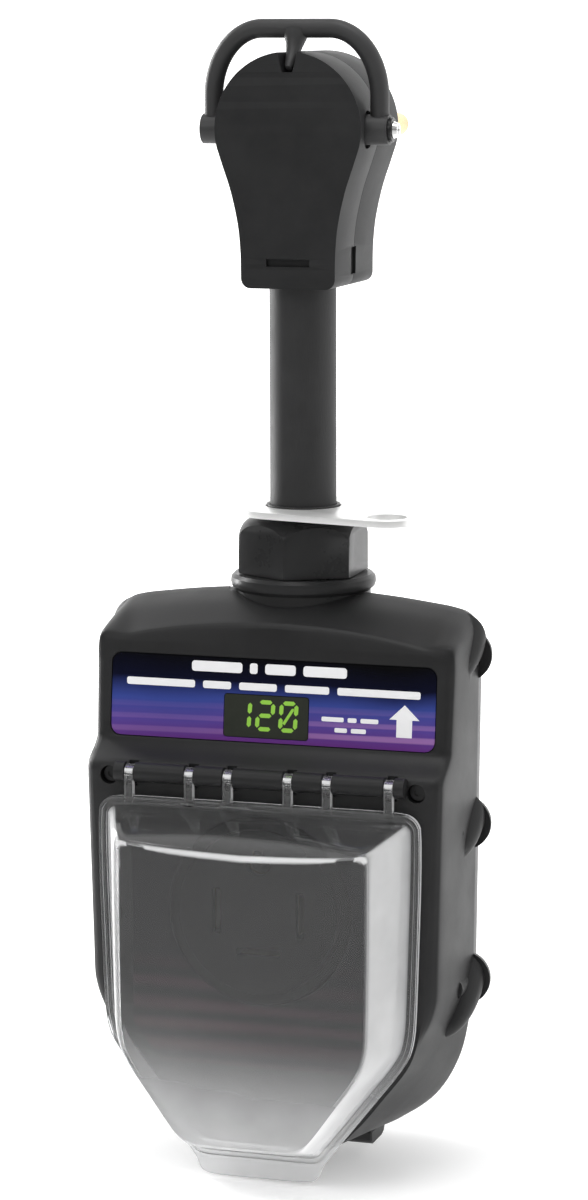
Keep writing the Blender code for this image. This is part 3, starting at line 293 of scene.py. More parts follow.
def clear_plastic():
    """Polished clear moulding, with painted reflection: it is painted white on the drafted walls and towards the foot,
    and it carries a painted highlight along the crown's top edge.
    """
    n = Nodes("clear_cover")
    b = n.b
    x, y, z = n.xyz()
    nv = n.new("ShaderNodeSeparateXYZ")
    n.feed(nv.inputs[0], n.new("ShaderNodeTexCoord").outputs["Normal"])
    flat = n.math('ABSOLUTE', nv.outputs[1])
    # painted reflection: the walls facing sideways are painted white, standing in for the white surroundings they
    # reflect
    side = n.math('MULTIPLY', n.span(n.math('ABSOLUTE', nv.outputs[0]), 0.12, 0.55, 0.0, 0.50, True),
                  n.span(flat, 0.55, 0.96, 1.0, 0.0, True))
    wall = n.math('ADD', side, n.span(flat, 0.62, 0.97, 0.028, 0.0, True))
    # painted highlight: a pale line on the upward-facing rounded edge at the crown's top, where the top lamp would
    # glint
    brow_highlight = n.math('MULTIPLY', n.math('MULTIPLY', n.span(flat, 0.74, 0.88, 0.0, 1.0, True),
                                     n.span(flat, 0.965, 0.999, 0.85, 0.0, True)),
                  n.span(nv.outputs[2], 0.05, 0.18, 0.0, 1.0, True))
    # painted reflection: whiter towards the foot and more on the left, standing in for the white floor it reflects
    low = n.math('ADD', n.span(z, -0.403, -0.350, 0.42, 0.0, True),
                 n.math('MULTIPLY', n.span(z, -0.385, -0.325, 0.07, 0.0, True), n.span(x, -0.045, 0.02, 1.6, 0.5, True)))
    # painted reflection and painted highlight summed; where the sum is high the cover turns white instead of clear
    painted_reflection = n.math('ADD', n.math('ADD', n.math('ADD', wall, brow_highlight), low), 0.002)
    painted_reflection = n.math('MULTIPLY', painted_reflection, n.span(n.noise(28.0, 3.0), 0.3, 0.7, 0.88, 1.12), True)
    n.feed(b.inputs["Base Color"], n.mix(n.noise(25.0), (0.96, 0.965, 0.975), (0.99, 0.99, 0.99)))
    n.feed(b.inputs["Transmission Weight"], n.math('SUBTRACT', 1.0, painted_reflection, True))
    n.feed(b.inputs["Roughness"], n.span(n.noise(70.0, 4.0), 0.3, 0.7, 0.035, 0.065))
    b.inputs["IOR"].default_value = 1.49
    b.inputs["Specular IOR Level"].default_value = 0.07
    n.bump(n.noise(60.0, 2.0), 0.03, 0.0005)
    return n.m


CLEAR = clear_plastic()


def label_print():
    """Printed overlay: black at the top, blue, then violet with soft pale streaks."""
    n = Nodes("label_print")
    b = n.b
    x, y, z = n.xyz()
    t = n.span(z, -0.2430, -0.2085, 0.0, 1.0)
    wob = n.math('MULTIPLY', n.math('SUBTRACT', n.noise(14.0, 2.0), 0.5), 0.35)
    base = n.ramp(n.math('ADD', t, wob), [(0.0, (0.170, 0.036, 0.260)), (0.26, (0.120, 0.070, 0.360)),
                                          (0.50, (0.050, 0.078, 0.350)), (0.72, (0.003, 0.004, 0.020)),
                                          (1.0, (0.0010, 0.0010, 0.0018))])
    v = n.scaled(9.0, 1.0, 95.0, (0.0, 0.10, 0.0))
    w = n.new("ShaderNodeTexWave", wave_type='BANDS', bands_direction='Z')
    n.feed(w.inputs["Vector"], v)
    w.inputs["Scale"].default_value = 0.62
    w.inputs["Distortion"].default_value = 3.2
    w.inputs["Detail"].default_value = 1.5
    w.inputs["Detail Scale"].default_value = 0.8
    streak = n.span(w.outputs["Fac"], 0.45, 0.85, 0.0, 1.0, True)
    where = n.math('MULTIPLY', n.span(t, 0.0, 0.58, 1.0, 0.0, True), n.span(x, -0.045, 0.045, 0.35, 1.0, True))
    col = n.mix(n.math('MULTIPLY', n.math('MULTIPLY', streak, where), 0.55), base, (0.66, 0.34, 0.70))
    n.feed(b.inputs["Base Color"], col)
    n.feed(b.inputs["Roughness"], n.span(n.noise(300.0), 0.3, 0.7, 0.20, 0.27))
    b.inputs["Coat Weight"].default_value = 0.08
    b.inputs["Specular IOR Level"].default_value = 0.085
    n.bump(n.noise(900.0), 0.03)
    return n.m


LABEL = label_print()


def card_print():
    """Card under the cover: near black, with faint soft streaks towards its foot."""
    n = Nodes("card_print")
    b = n.b
    x, y, z = n.xyz()
    v = n.scaled(7.0, 1.0, 70.0, (0.0, 0.12, 0.0))
    w = n.new("ShaderNodeTexWave", wave_type='BANDS', bands_direction='Z')
    n.feed(w.inputs["Vector"], v)
    w.inputs["Scale"].default_value = 0.5
    w.inputs["Distortion"].default_value = 4.0
    w.inputs["Detail"].default_value = 1.5
    low = n.span(z, -0.368, -0.318, 1.0, 0.0, True)
    f = n.math('MULTIPLY', n.math('MULTIPLY', w.outputs["Fac"], low), n.span(x, -0.03, 0.03, 1.0, 0.5, True))
    n.feed(b.inputs["Base Color"], n.mix(f, (0.004, 0.004, 0.006), (0.10, 0.045, 0.058)))
    n.feed(b.inputs["Roughness"], n.span(n.noise(300.0), 0.3, 0.7, 0.40, 0.48))
    b.inputs["Specular IOR Level"].default_value = 0.08
    n.bump(n.noise(900.0), 0.03)
    return n.m


CARD = card_print()


def smoked():
    n = Nodes("smoked_window")
    b = n.b
    n.feed(b.inputs["Base Color"], n.mix(n.noise(200.0), (0.020, 0.024, 0.016), (0.032, 0.036, 0.026)))
    n.feed(b.inputs["Roughness"], n.span(n.noise(150.0), 0.3, 0.7, 0.12, 0.17))
    n.bump(n.noise(1200.0), 0.02)
    return n.m


SMOKED = smoked()


def ink(name, color, glow=0.0):
    n = Nodes(name)
    b = n.b
    col = n.mix(n.noise(700.0), tone(color, 0.86), color)
    n.feed(b.inputs["Base Color"], col)
    n.feed(b.inputs["Roughness"], n.span(n.noise(400.0), 0.3, 0.7, 0.30, 0.42))
    if glow:
        n.feed(b.inputs["Emission Color"], col)
        b.inputs["Emission Strength"].default_value = glow
    return n.m


# painted glow: the white print is given emission, so it reads brighter than ink under the lamps
WHITE_INK_PAINTED_GLOW = ink("white_ink", (0.93, 0.93, 0.94), 0.22)
DIGIT = ink("lit_segments", (0.24, 0.50, 0.05), 0.45)



SKIN = "_fine"


def link(ob, coll):
    coll.objects.link(ob)
    return ob


def as_tool(ob):
    for c in list(ob.users_collection):
        c.objects.unlink(ob)
    TOOLS.objects.link(ob)
    ob.hide_render = True
    ob.display_type = 'WIRE'
    return ob


def new_mesh(name, bm, mat=None, smooth=35.0):
    bmesh.ops.recalc_face_normals(bm, faces=bm.faces)
    me = bpy.data.meshes.new(name)
    bm.to_mesh(me)
    bm.free()
    if mat is not None:
        me.materials.append(mat)
    ob = link(bpy.data.objects.new(name + SKIN, me), PART)
    if smooth:
        me.shade_smooth()
        me.set_sharp_from_angle(angle=math.radians(smooth))
    return ob


def add_box(bm, lo, hi):
    lo, hi = P(*lo), P(*hi)
    size = hi - lo
    bmesh.ops.create_cube(bm, size=1.0, matrix=Matrix.Translation((lo + hi) / 2) @ Matrix.Diagonal((*size, 1.0)))


def add_cyl(bm, a, b, r0, r1=None, seg=24, turn=0.0):
    a, b = P(*a), P(*b)
    d = b - a
    m = Matrix.Translation((a + b) / 2) @ d.to_track_quat('Z', 'Y').to_matrix().to_4x4() \
        @ Matrix.Rotation(math.radians(turn), 4, 'Z')
    bmesh.ops.create_cone(bm, cap_ends=True, segments=seg, radius1=r0 * MM, radius2=(r0 if r1 is None else r1) * MM,
                          depth=d.length, matrix=m)


def add_ball(bm, c, radii, u=16, v=10):
    bmesh.ops.create_uvsphere(bm, u_segments=u, v_segments=v, radius=1.0,
                              matrix=Matrix.Translation(P(*c)) @ Matrix.Diagonal((radii[0] * MM, radii[1] * MM,
                                                                                 radii[2] * MM, 1.0)))


def solid(name, adders, mat=None):
    bm = bmesh.new()
    for fn, args in adders:
        fn(bm, *args[0], **args[1])
    return new_mesh(name, bm, mat)


def box(name, lo, hi, mat=None):
    bm = bmesh.new()
    add_box(bm, lo, hi)
    return new_mesh(name, bm, mat)


def cyl(name, a, b, r0, r1=None, seg=24, mat=None, turn=0.0):
    bm = bmesh.new()
    add_cyl(bm, a, b, r0, r1, seg, turn)
    return new_mesh(name, bm, mat)


def bake(ob):
    """Replace an object's mesh (or a curve) by its evaluated mesh, welded."""
    bpy.context.view_layer.update()
    dg = bpy.context.evaluated_depsgraph_get()
    me = bpy.data.meshes.new_from_object(ob.evaluated_get(dg))
    bm = bmesh.new()
    bm.from_mesh(me)
    bmesh.ops.remove_doubles(bm, verts=bm.verts, dist=WELD)
    bmesh.ops.dissolve_degenerate(bm, edges=bm.edges, dist=WELD)
    bm.to_mesh(me)
    bm.free()
    me.shade_smooth()
    me.set_sharp_from_angle(angle=math.radians(35.0))
    if ob.type == 'MESH':
        ob.modifiers.clear()
        ob.data = me
        return ob
    new = bpy.data.objects.new(ob.name, me)
    new.matrix_world = ob.matrix_world.copy()
    for c in ob.users_collection:
        c.objects.link(new)
    name = ob.name
    bpy.data.objects.remove(ob, do_unlink=True)
    new.name = name
    return new


def combine(ob, tool, op):
    m = ob.modifiers.new(tool.name, 'BOOLEAN')
    m.operation = op
    m.solver = 'EXACT'
    m.object = tool
    as_tool(tool)
    ob = bake(ob)
    bpy.data.objects.remove(tool, do_unlink=True)
    return ob


def cut(ob, tool):
    return combine(ob, tool, 'DIFFERENCE')


def add(ob, tool):
    return combine(ob, tool, 'UNION')


def plate(name, loops, lo, hi, plane, mat=None):
    """Closed outlines in mm, extruded from lo to hi along the plane's normal."""
    cu = bpy.data.curves.new(name, 'CURVE')
    cu.dimensions = '2D'
    cu.fill_mode = 'BOTH'
    cu.extrude = abs(hi - lo) / 2 * MM
    for pts in loops:
        sp = cu.splines.new('POLY')
        sp.points.add(len(pts) - 1)
        for p, (a, b) in zip(sp.points, pts):
            p.co = (a * MM, b * MM, 0.0, 1.0)
        sp.use_cyclic_u = True
    if mat is not None:
        cu.materials.append(mat)
    ob = link(bpy.data.objects.new(name + SKIN, cu), PART)
    mid = (lo + hi) / 2
    if plane == 'XZ':
        ob.matrix_world = Matrix.Translation(P(0, mid, 0)) @ Matrix.Rotation(math.pi / 2, 4, 'X')
    elif plane == 'YZ':
        ob.matrix_world = Matrix.Translation(P(mid, 0, 0)) @ Matrix(((0, 0, 1, 0), (1, 0, 0, 0), (0, 1, 0, 0),
                                                                    (0, 0, 0, 1)))
    else:
        ob.matrix_world = Matrix.Translation(P(0, 0, mid))
    return bake(ob)


def turned(name, profile, centre, mat=None, steps=32):
    """A profile of (radius, height) in mm, outer side top to bottom, screwed about the vertical through centre."""
    me = bpy.data.meshes.new(name)
    closed = profile[0][0] > 0 or profile[-1][0] > 0
    bm = bmesh.new()
    vs = [bm.verts.new((r * MM, 0.0, z * MM)) for r, z in profile]
    for a, b in zip(vs, vs[1:]):
        bm.edges.new((a, b))
    if closed:
        bm.edges.new((vs[-1], vs[0]))
    bm.to_mesh(me)
    bm.free()
    if mat is not None:
        me.materials.append(mat)
    ob = link(bpy.data.objects.new(name + SKIN, me), PART)
    ob.location = P(centre[0], centre[1], 0.0)
    s = ob.modifiers.new("turn", 'SCREW')
    s.axis = 'Z'
    s.steps = steps
    s.render_steps = steps
    s.use_merge_vertices = True
    s.merge_threshold = 0.00001
    s.use_smooth_shade = True
    return bake(ob)


def tube(name, pts, r, mat, res=3, radii=None):
    cu = bpy.data.curves.new(name, 'CURVE')
    cu.dimensions = '3D'
    cu.bevel_depth = r * MM
    cu.bevel_resolution = res
    cu.use_fill_caps = True
    sp = cu.splines.new('POLY')
    sp.points.add(len(pts) - 1)
    for i, (p, q) in enumerate(zip(sp.points, pts)):
        p.co = (*P(*q), 1.0)
        if radii:
            p.radius = radii[i]
    cu.materials.append(mat)
    ob = link(bpy.data.objects.new(name + SKIN, cu), PART)
    return bake(ob)


def bevel(ob, width, seg=2, angle=35.0):
    m = ob.modifiers.new("edge", 'BEVEL')
    m.width = width * MM
    m.segments = seg
    m.limit_method = 'ANGLE'
    m.angle_limit = math.radians(angle)
    m.use_clamp_overlap = True
    return bake(ob)


def flatten(ob):
    """Merge the coplanar facets that the cuts leave."""
    m = ob.modifiers.new("flat", 'DECIMATE')
    m.decimate_type = 'DISSOLVE'
    m.angle_limit = math.radians(0.6)
    return bake(ob)


def set_origin(ob, x, y, z):
    """Put an object's origin on its joint's axis, without moving the piece."""
    bpy.context.view_layer.update()
    p = P(x, y, z)
    ob.data.transform(Matrix.Translation(-p) @ ob.matrix_world)
    ob.matrix_world = Matrix.Translation(p)
    return ob


def arc(cx, cz, r, a0, a1, n):
    return [(cx + r * math.cos(math.radians(a0 + (a1 - a0) * i / n)),
             cz + r * math.sin(math.radians(a0 + (a1 - a0) * i / n))) for i in range(n + 1)]


def ring2(cx, cz, r, n=24):
    return arc(cx, cz, r, 0, 360.0 * (n - 1) / n, n - 1)


def spline(pts, per):
    """Catmull-Rom curve through 2D or 3D points, per steps to a span."""
    out = []
    n = len(pts)
    for i in range(n - 1):
        p0, p1, p2, p3 = pts[max(i - 1, 0)], pts[i], pts[i + 1], pts[min(i + 2, n - 1)]
        for k in range(per):
            t = k / per
            out.append(tuple(0.5 * (2 * b + (c - a) * t + (2 * a - 5 * b + 4 * c - d) * t * t
                                    + (3 * b - a - 3 * c + d) * t ** 3) for a, b, c, d in zip(p0, p1, p2, p3)))
    out.append(tuple(pts[-1]))
    return out


def inset(pts, d):
    """Move a closed counter-clockwise outline inwards by d."""
    out = []
    n = len(pts)
    for i in range(n):
        (ax, az), (bx, bz), (cx, cz) = pts[i - 1], pts[i], pts[(i + 1) % n]
        u = Vector((bx - ax, bz - az)).normalized()
        v = Vector((cx - bx, cz - bz)).normalized()
        nu, nv = Vector((-u.y, u.x)), Vector((-v.y, v.x))
        m = (nu + nv).normalized()
        k = d / max(0.4, m.dot(nu))
        out.append((bx + m.x * k, bz + m.y * k))
    return out


def rounded(x0, z0, x1, z1, r, n=4):
    return arc(x1 - r, z1 - r, r, 0, 90, n) + arc(x0 + r, z1 - r, r, 90, 180, n) \
        + arc(x0 + r, z0 + r, r, 180, 270, n) + arc(x1 - r, z0 + r, r, 270, 360, n)

# ------------------------------------------------------------------ plug head
def head_outline():
    """Counter-clockwise outline: round head, waisted flanks, square foot with rounded corners."""
    flank = [(19.6, -58.8), (19.8, -48.0), (20.9, -37.0), (23.7, -24.5), (27.2, -14.0), (29.432, -7.312)]
    half = arc(15.6, HEAD_BOTTOM + 4.0, 4.0, -90, 0, 8)[:-1] + spline(flank, 5)[:-1] + arc(0, HEAD_CZ, HEAD_R, -14.5, 90, 44)
    return half + [(-x, z) for x, z in reversed(half[:-1])]


OUT = head_outline()
INN = inset(OUT, HEAD_WALL)
BOSS = ((18.5, 16.0), (-18.5, 16.0), (16.0, -30.0), (-16.0, -30.0))

front = bevel(plate("head_front_shell", [OUT], HEAD_FRONT, HEAD_SEAM - GAP / 2, 'XZ', HEADBLACK), 1.5, 4, 50)
cavity = plate("head_front_cavity", [INN], HEAD_FRONT + HEAD_WALL, HEAD_SEAM + 5, 'XZ')
keep = solid("head_front_keep", [
    (add_box, (((-8.0, -60.0, 18.4), (8.0, -38.6, 40.0)), {})),
    (add_cyl, (((17.0, PIVOT_Y, 0), (40, PIVOT_Y, 0), 9.3), {"seg": 40})),
    (add_cyl, (((-17.0, PIVOT_Y, 0), (-40, PIVOT_Y, 0), 9.3), {"seg": 40})),
] + [(add_cyl, (((x, -60, z), (x, -20, z), 3.4), {"seg": 24})) for x, z in BOSS])
cavity = cut(cavity, keep)
front = cut(front, cavity)
holes = solid("head_front_holes", [
    (add_cyl, (((28.0, PIVOT_Y, 0), (40, PIVOT_Y, 0), 7.5), {"seg": 48})),
    (add_cyl, (((-28.0, PIVOT_Y, 0), (-40, PIVOT_Y, 0), 7.5), {"seg": 48})),
    (add_box, (((-9.0, -60.0, -54.0), (9.0, -51.3, -51.0)), {})),
] + [(add_cyl, (((x, -46.0, z), (x, -20, z), 1.7), {"seg": 24})) for x, z in BOSS])
front = cut(front, holes)
front = cut(front, solid("head_pivot_holes", [
    (add_cyl, (((s * 18.4, PIVOT_Y, 0), (s * 29, PIVOT_Y, 0), 2.2), {"seg": 24})) for s in (1, -1)]))
notch = plate("head_notch", [[(2.1, 22.6), (3.0, 25.5), (4.6, 33.0), (-4.6, 33.0), (-3.0, 25.5), (-2.1, 22.6)]],
              -56.0, -41.2, 'XZ')
front = cut(front, notch)
pry = solid("head_pry_slots", [
    (add_box, (((s * 18.4, -31.0, -58.0), (s * 24.0, -24.5, -47.0)), {})) for s in (1, -1)])
pry_back = solid("head_pry_slots_back", [
    (add_box, (((s * 18.4, -31.0, -58.0), (s * 24.0, -24.5, -47.0)), {})) for s in (1, -1)])
front = cut(front, pry)
mouth = cyl("head_cable_mouth", (0, CABLE_Y, -70), (0, CABLE_Y, -55), CABLE_R + GAP, seg=64)
mouth_back = cyl("head_cable_mouth_back", (0, CABLE_Y, -70), (0, CABLE_Y, -55), CABLE_R + GAP, seg=64)
front = cut(front, mouth)


back = bevel(plate("head_back_shell", [OUT], HEAD_SEAM + GAP / 2, 0.0, 'XZ', HEADBLACK), 1.5, 4, 50)
back = add(back, cyl("head_face", (0, -1.5, 0), (0, FACE_RISE, 0), 27.0, seg=96))
cavity = plate("head_back_cavity", [INN], HEAD_SEAM - 5, -3.0, 'XZ')
cavity = cut(cavity, solid("head_back_keep", [(add_cyl, (((x, -32, z), (x, 0, z), 3.4), {"seg": 24}))
                                              for x, z in BOSS]))
back = cut(back, cavity)
back = cut(back, solid("head_back_holes", [
    (add_cyl, (((x, -30, z), (x, -2.9, z), 1.7), {"seg": 24})) for x, z in BOSS] + [
    (add_cyl, (((x, -2.6, z), (x, 9, z), 3.3), {"seg": 32})) for x, z in BOSS] + [
    (add_box, (((-BLADE_W / 2 - GAP, -9, s * LINE_Z - BLADE_T / 2 - GAP),
                (BLADE_W / 2 + GAP, 9, s * LINE_Z + BLADE_T / 2 + GAP)), {})) for s in (1, -1)] + [
    (add_box, (((NEUTRAL_X - BLADE_T / 2 - GAP, -9, -BLADE_W / 2 - GAP),
                (NEUTRAL_X + BLADE_T / 2 + GAP, 9, BLADE_W / 2 + GAP)), {})),
    (add_cyl, (((GROUND_X, -9, 0), (GROUND_X, 9, 0), GROUND_R + GAP), {"seg": 40}))]))
# the shank holes meet the head recesses
back = cut(back, solid("head_back_through", [
    (add_cyl, (((x, -4, z), (x, -1, z), 1.7), {"seg": 24})) for x, z in BOSS]))
back = cut(back, pry_back)
back = cut(back, mouth_back)


pin = turned("ground_pin", [(0, 0), (2.4, 0), (3.9, -0.9), (GROUND_R, -3.2), (GROUND_R, -GROUND_LEN - 19.0),
                            (0, -GROUND_LEN - 19.0)], (0, 0), BRASS, 48)
pin.matrix_world = Matrix.Translation(P(GROUND_X, FACE_RISE + GROUND_LEN, 0)) @ Matrix.Rotation(-math.pi / 2, 4, 'X')

for i, (x, z) in enumerate(BOSS):
    s = cyl("head_screw_%d" % (i + 1), (x, -44.0, z), (x, -1.6, z), 1.4, seg=24, mat=STEEL)
    s = add(s, cyl("head_screw_cap_%d" % i, (x, -2.2, z), (x, -0.4, z), 2.9, 2.5, seg=32))
    s = cut(s, cyl("head_screw_drive_%d" % i, (x, -1.2, z), (x, 2, z), 1.3, seg=6))


# ------------------------------------------------------------------ bail
side = [(ARM_X, z) for z in (0.0, 7.0)]
corner = [(14.0 + (ARM_X - 14.0) * math.cos(a), 13.0 + (BAIL_TOP - 13.0) * math.sin(a))
          for a in [math.pi / 2 * i / 24 for i in range(25)]]
right = side + corner
path = right + [(-x, z) for x, z in reversed(right)]
bail = tube("bail_handle", [(x, PIVOT_Y, z) for x, z in path], ROD_R, BAILBLACK, 10)
finger = tube("bail_finger", [(0, PIVOT_Y, BAIL_TOP - 0.6), (0, PIVOT_Y - 0.6, 36.2), (0, PIVOT_Y - 2.0, 33.4),
                              (0, PIVOT_Y - 4.2, 30.5), (0, PIVOT_Y - 6.6, 27.6), (0, PIVOT_Y - 8.8, 25.3),
                              (0, PIVOT_Y - 9.8, 24.2)],
              1.0, GLOSS, 10, [5.2, 4.6, 3.5, 2.8, 2.3, 1.9, 1.3])
bail = add(bail, finger)
bail = add(bail, solid("bail_knuckles", [
    (add_cyl, (((s * 28.4, PIVOT_Y, 0), (s * 38.8, PIVOT_Y, 0), KNUCKLE_R), {"seg": 56})) for s in (1, -1)]))
bail = cut(bail, solid("bail_bores", [
    (add_cyl, (((20, PIVOT_Y, 0), (45, PIVOT_Y, 0), 2.1), {"seg": 24})),
    (add_cyl, (((-20, PIVOT_Y, 0), (-36.6, PIVOT_Y, 0), 2.4), {"seg": 24}))]))
set_origin(bail, 0, PIVOT_Y, 0)

stud = cyl("bail_pivot_stud", (-18.8, PIVOT_Y, 0), (-36.0, PIVOT_Y, 0), 2.0, seg=40, mat=STEEL)
washer = turned("bail_pivot_washer", [(2.2, 0.6), (4.6, 0.6), (4.9, 0.3), (4.9, -0.6), (2.2, -0.6)], (0, 0), GLOSS, 64)
washer.matrix_world = Matrix.Translation(P(39.7, PIVOT_Y, 0)) @ Matrix.Rotation(math.pi / 2, 4, 'Y')
screw = cyl("bail_pivot_screw", (18.8, PIVOT_Y, 0), (41.3, PIVOT_Y, 0), 1.8, seg=24, mat=STEEL)
screw = add(screw, cyl("pivot_screw_head", (40.6, PIVOT_Y, 0), (42.4, PIVOT_Y, 0), 3.4, 2.7, seg=48))
screw = cut(screw, solid("pivot_screw_cross", [
    (add_box, (((41.7, PIVOT_Y - 1.9, -0.45), (44, PIVOT_Y + 1.9, 0.45)), {}))]))
screw = cut(screw, solid("pivot_screw_cross2", [
    (add_box, (((41.7, PIVOT_Y - 0.45, -1.9), (44, PIVOT_Y + 0.45, 1.9)), {}))]))

# ------------------------------------------------------------------ cable
CORE = ((-5.0, -38.0), (5.0, -38.0), (-5.0, -28.0), (5.0, -28.0))
CORE_R = 3.3
JACKET_TOP = -44.0
JACKET_END = -212.0
jacket = cyl("cable_jacket", (0, CABLE_Y, JACKET_END), (0, CABLE_Y, JACKET_TOP), CABLE_R, seg=80, mat=RUBBER)
cut(jacket, solid("cable_bores", [
    (add_cyl, (((x, y, -230), (x, y, -30), CORE_R + 0.35), {"seg": 24})) for x, y in CORE]))

# ------------------------------------------------------------------ lock plate
SMALL_D, SMALL_R, RING_R = 50.0, 13.0, 29.0
tangent = math.degrees(math.acos((RING_R - SMALL_R) / SMALL_D))
shape = arc(0, 0, RING_R, tangent, 360 - tangent, 90) + arc(SMALL_D, 0, SMALL_R, -tangent, tangent, 44)
lock = plate("lock_plate", [shape, ring2(0, 0, 15.4, 90), ring2(SMALL_D, 0, 8.0, 60)], PLATE_TOP - PLATE_T, PLATE_TOP,
             'XY', PLATED)
lock = bevel(lock, 0.45, 3, 50)
lock.matrix_world = Matrix.Translation(P(0, CABLE_Y, PLATE_TOP - PLATE_T / 2)) \
    @ Matrix.Rotation(math.radians(PLATE_ANGLE), 4, 'Z')
bush = turned("lock_plate_bush", [(13.8, PLATE_TOP + 0.7), (14.9, PLATE_TOP + 0.7), (14.9, PLATE_TOP - PLATE_T - GAP),
                                  (17.2, PLATE_TOP - PLATE_T - GAP), (17.2, NUT_TOP + GAP), (13.8, NUT_TOP + GAP)],
              (0, CABLE_Y), BUSH, 80)

# ------------------------------------------------------------------ gland
nut = cyl("gland_nut", (0, CABLE_Y, NUT_BOTTOM), (0, CABLE_Y, NUT_TOP), NUT_R, seg=6, mat=GLANDBLACK, turn=0.0)
dome = [(0, NUT_TOP + 0.01)] + [(18.0 + 9.4 * math.sin(a), NUT_TOP - 10.5 * (1 - math.cos(a)))
                               for a in [math.pi / 2 * i / 14 for i in range(15)]]
dome = [(0.0, NUT_TOP + 2.0), (17.0, NUT_TOP + 2.0)] + dome[1:] + [(27.4, NUT_BOTTOM + 1.6), (25.8, NUT_BOTTOM - 2.0),
                                                                 (0.0, NUT_BOTTOM - 2.0)]
nut = combine(nut, turned("nut_dome", dome, (0, CABLE_Y), None, 96), 'INTERSECT')
nut = cut(nut, turned("nut_bore", [(0.0, -150.0), (CABLE_R + 0.5, -150.0), (CABLE_R + 0.5, -159.3), (21.0, -159.3),
                                   (21.0, -190.0), (0.0, -190.0)], (0, CABLE_Y), None, 80))

turned("gland_body", [(CABLE_R + 0.6, -172.0), (20.6, -172.0), (20.6, NUT_BOTTOM - GAP), (COLLAR_R - 1.6, NUT_BOTTOM - GAP),
                      (COLLAR_R - 0.3, -180.6), (COLLAR_R, -182.4), (COLLAR_R - 0.5, -184.3), (COLLAR_R - 1.8, -185.4),
                      (NECK_R, -185.9), (NECK_R, -199.0), (21.8, -199.0), (21.8, -205.5), (CABLE_R + 0.6, -205.5)],
       (0, CABLE_Y), GLANDBLACK, 96)



# ------------------------------------------------------------------ case
def face0(z):
    if z > -243.0:
        return -77.6 + 0.105 * (z + 243.0)
    for (z0, y0), (z1, y1) in (((-243.0, -77.6), (-246.5, -81.5)), ((-246.5, -81.5), (-250.5, -88.6)),
                               ((-250.5, -88.6), (-253.0, PANEL_Y))):
        if z >= z1:
            return y0 + (y1 - y0) * (z0 - z) / (z0 - z1)
    return PANEL_Y


def face_y(z):
    """Depth of the front face, its corners rounded: tilted label panel, shelf, then the flat lower panel."""
    return sum(face0(z + 1.4 * (i / 6.0 - 1.0)) for i in range(13)) / 13.0


def front_edge(x, z, w):
    if w == 1.0:
        return x * 71.7 / 76.5, -196.4 - 9.3 * (x / 76.0) ** 2
    if w > 0.0:
        return {0.7: (67.8, -204.9), 0.2: (71.2, -207.8)}[w]
    if z > -345.0:
        return x - 4.8 - taper(z), min(z, -213.0)
    return LOW_FRONT[z]


def taper(z):
    return 2.2 * min(1.0, max(0.0, (-258.0 - z) / 72.0))


# the lower end of the front face follows the cover's flange, so the case slopes back from it to the seam
LOW_FRONT = {-354.0: (66.2, -351.0), -374.0: (61.8, -366.0), -390.0: (50.6, -381.4), -400.8: (39.0, -395.4),
             -407.2: (28.0, -403.2), -408.0: (0.0, -404.2)}


def outline():
    """Right half of the case at the seam with the matching point of the front's edge: (x, z, fx, fz, weight)."""
    top = [(x, -184.0 - 6.0 * (x / 70.0) ** 2, 1.0) for x in (0.0, 20.0, 40.0, 56.0, 66.0)]
    corner = [(72.0, -191.6, 0.7), (76.0, -198.0, 0.2), (76.45, -208.0, 0.0)]
    low = [(x, z, 0.0) for x, z in ((74.6, -340.0), (73.6, -354.0), (69.6, -374.0), (61.0, -390.0), (48.4, -400.8),
                                    (33.0, -407.2), (0.0, -408.0))]
    a = spline([(x, z, *front_edge(x, z, w), w) for x, z, w in top + corner], 5)
    zs = [-213.0, -219.0, -225.0, -231.0, -237.0] + [-240.0 - 0.75 * i for i in range(22)] \
        + [-258.0 - 6.0 * i for i in range(14)]
    b = []
    for z in zs:
        x = 76.5 - 1.9 * (-206.0 - z) / 134.0
        b.append((x, z, x - 4.8 - taper(z), z, 0.0))
    c = spline([(x, z, *front_edge(x, z, w), w) for x, z, w in low], 6)
    pts = a + b + c
    fixed = []
    last = 1e9
    for x, z, fx, fz, w in pts:
        fz = min(fz, last - 0.02) if fixed else fz
        last = fz
        fixed.append((max(x, 0.0), z, max(fx, 0.0), fz, w))
    return fixed


HALF = outline()
PROFILE = spline([(0.0, 0.0, 0.0), (0.45, 0.10, 0.30), (0.88, 0.27, 0.77), (0.965, 0.52, 0.89), (1.0, 1.0, 1.0)], 5)
BACK_PROFILE = spline([(0.0, 0.0), (0.40, 0.20), (0.80, 0.45), (0.93, 0.66), (1.0, 1.0)], 5)


def front_rings(wall, start):
    rings = []
    for h, gs, gt in PROFILE:
        ring = []
        for x, z, fx, fz, w in HALF:
            v = min(1.0, max(0.0, (-336.0 - z) / 30.0))
            v = v * v * (3 - 2 * v)
            g = gt * w + (gs + (h - gs) * v) * (1 - w)
            px, pz = x + (fx - x) * g, z + (fz - z) * g
            py = SEAM_Y + (face_y(fz) - SEAM_Y) * h + wall * h
            if wall:
                px *= 1 - wall / 76.0
                pz = CASE_MID_Z + (pz - CASE_MID_Z) * (1 - wall / 110.0)
            ring.append((px, py, pz))
        rings.append(ring)
    return [[(x, start, z) for x, y, z in rings[0]]] + rings[1:]


def back_rings(wall, start):
    rings = []
    for h, g in BACK_PROFILE:
        ring = []
        for x, z, fx, fz, w in HALF:
            k = 1 - (1 - 60.0 / 76.5) * g
            kz = 1 - 0.14 * g
            px, pz = x * k, CASE_MID_Z + (z - CASE_MID_Z) * kz
            py = SEAM_Y + (BACK_Y - SEAM_Y) * h - wall * h
            if wall:
                px *= 1 - wall / 76.0
                pz = CASE_MID_Z + (pz - CASE_MID_Z) * (1 - wall / 110.0)
            ring.append((px, py, pz))
        rings.append(ring)
    return [[(x, start, z) for x, y, z in rings[0]]] + rings[1:]



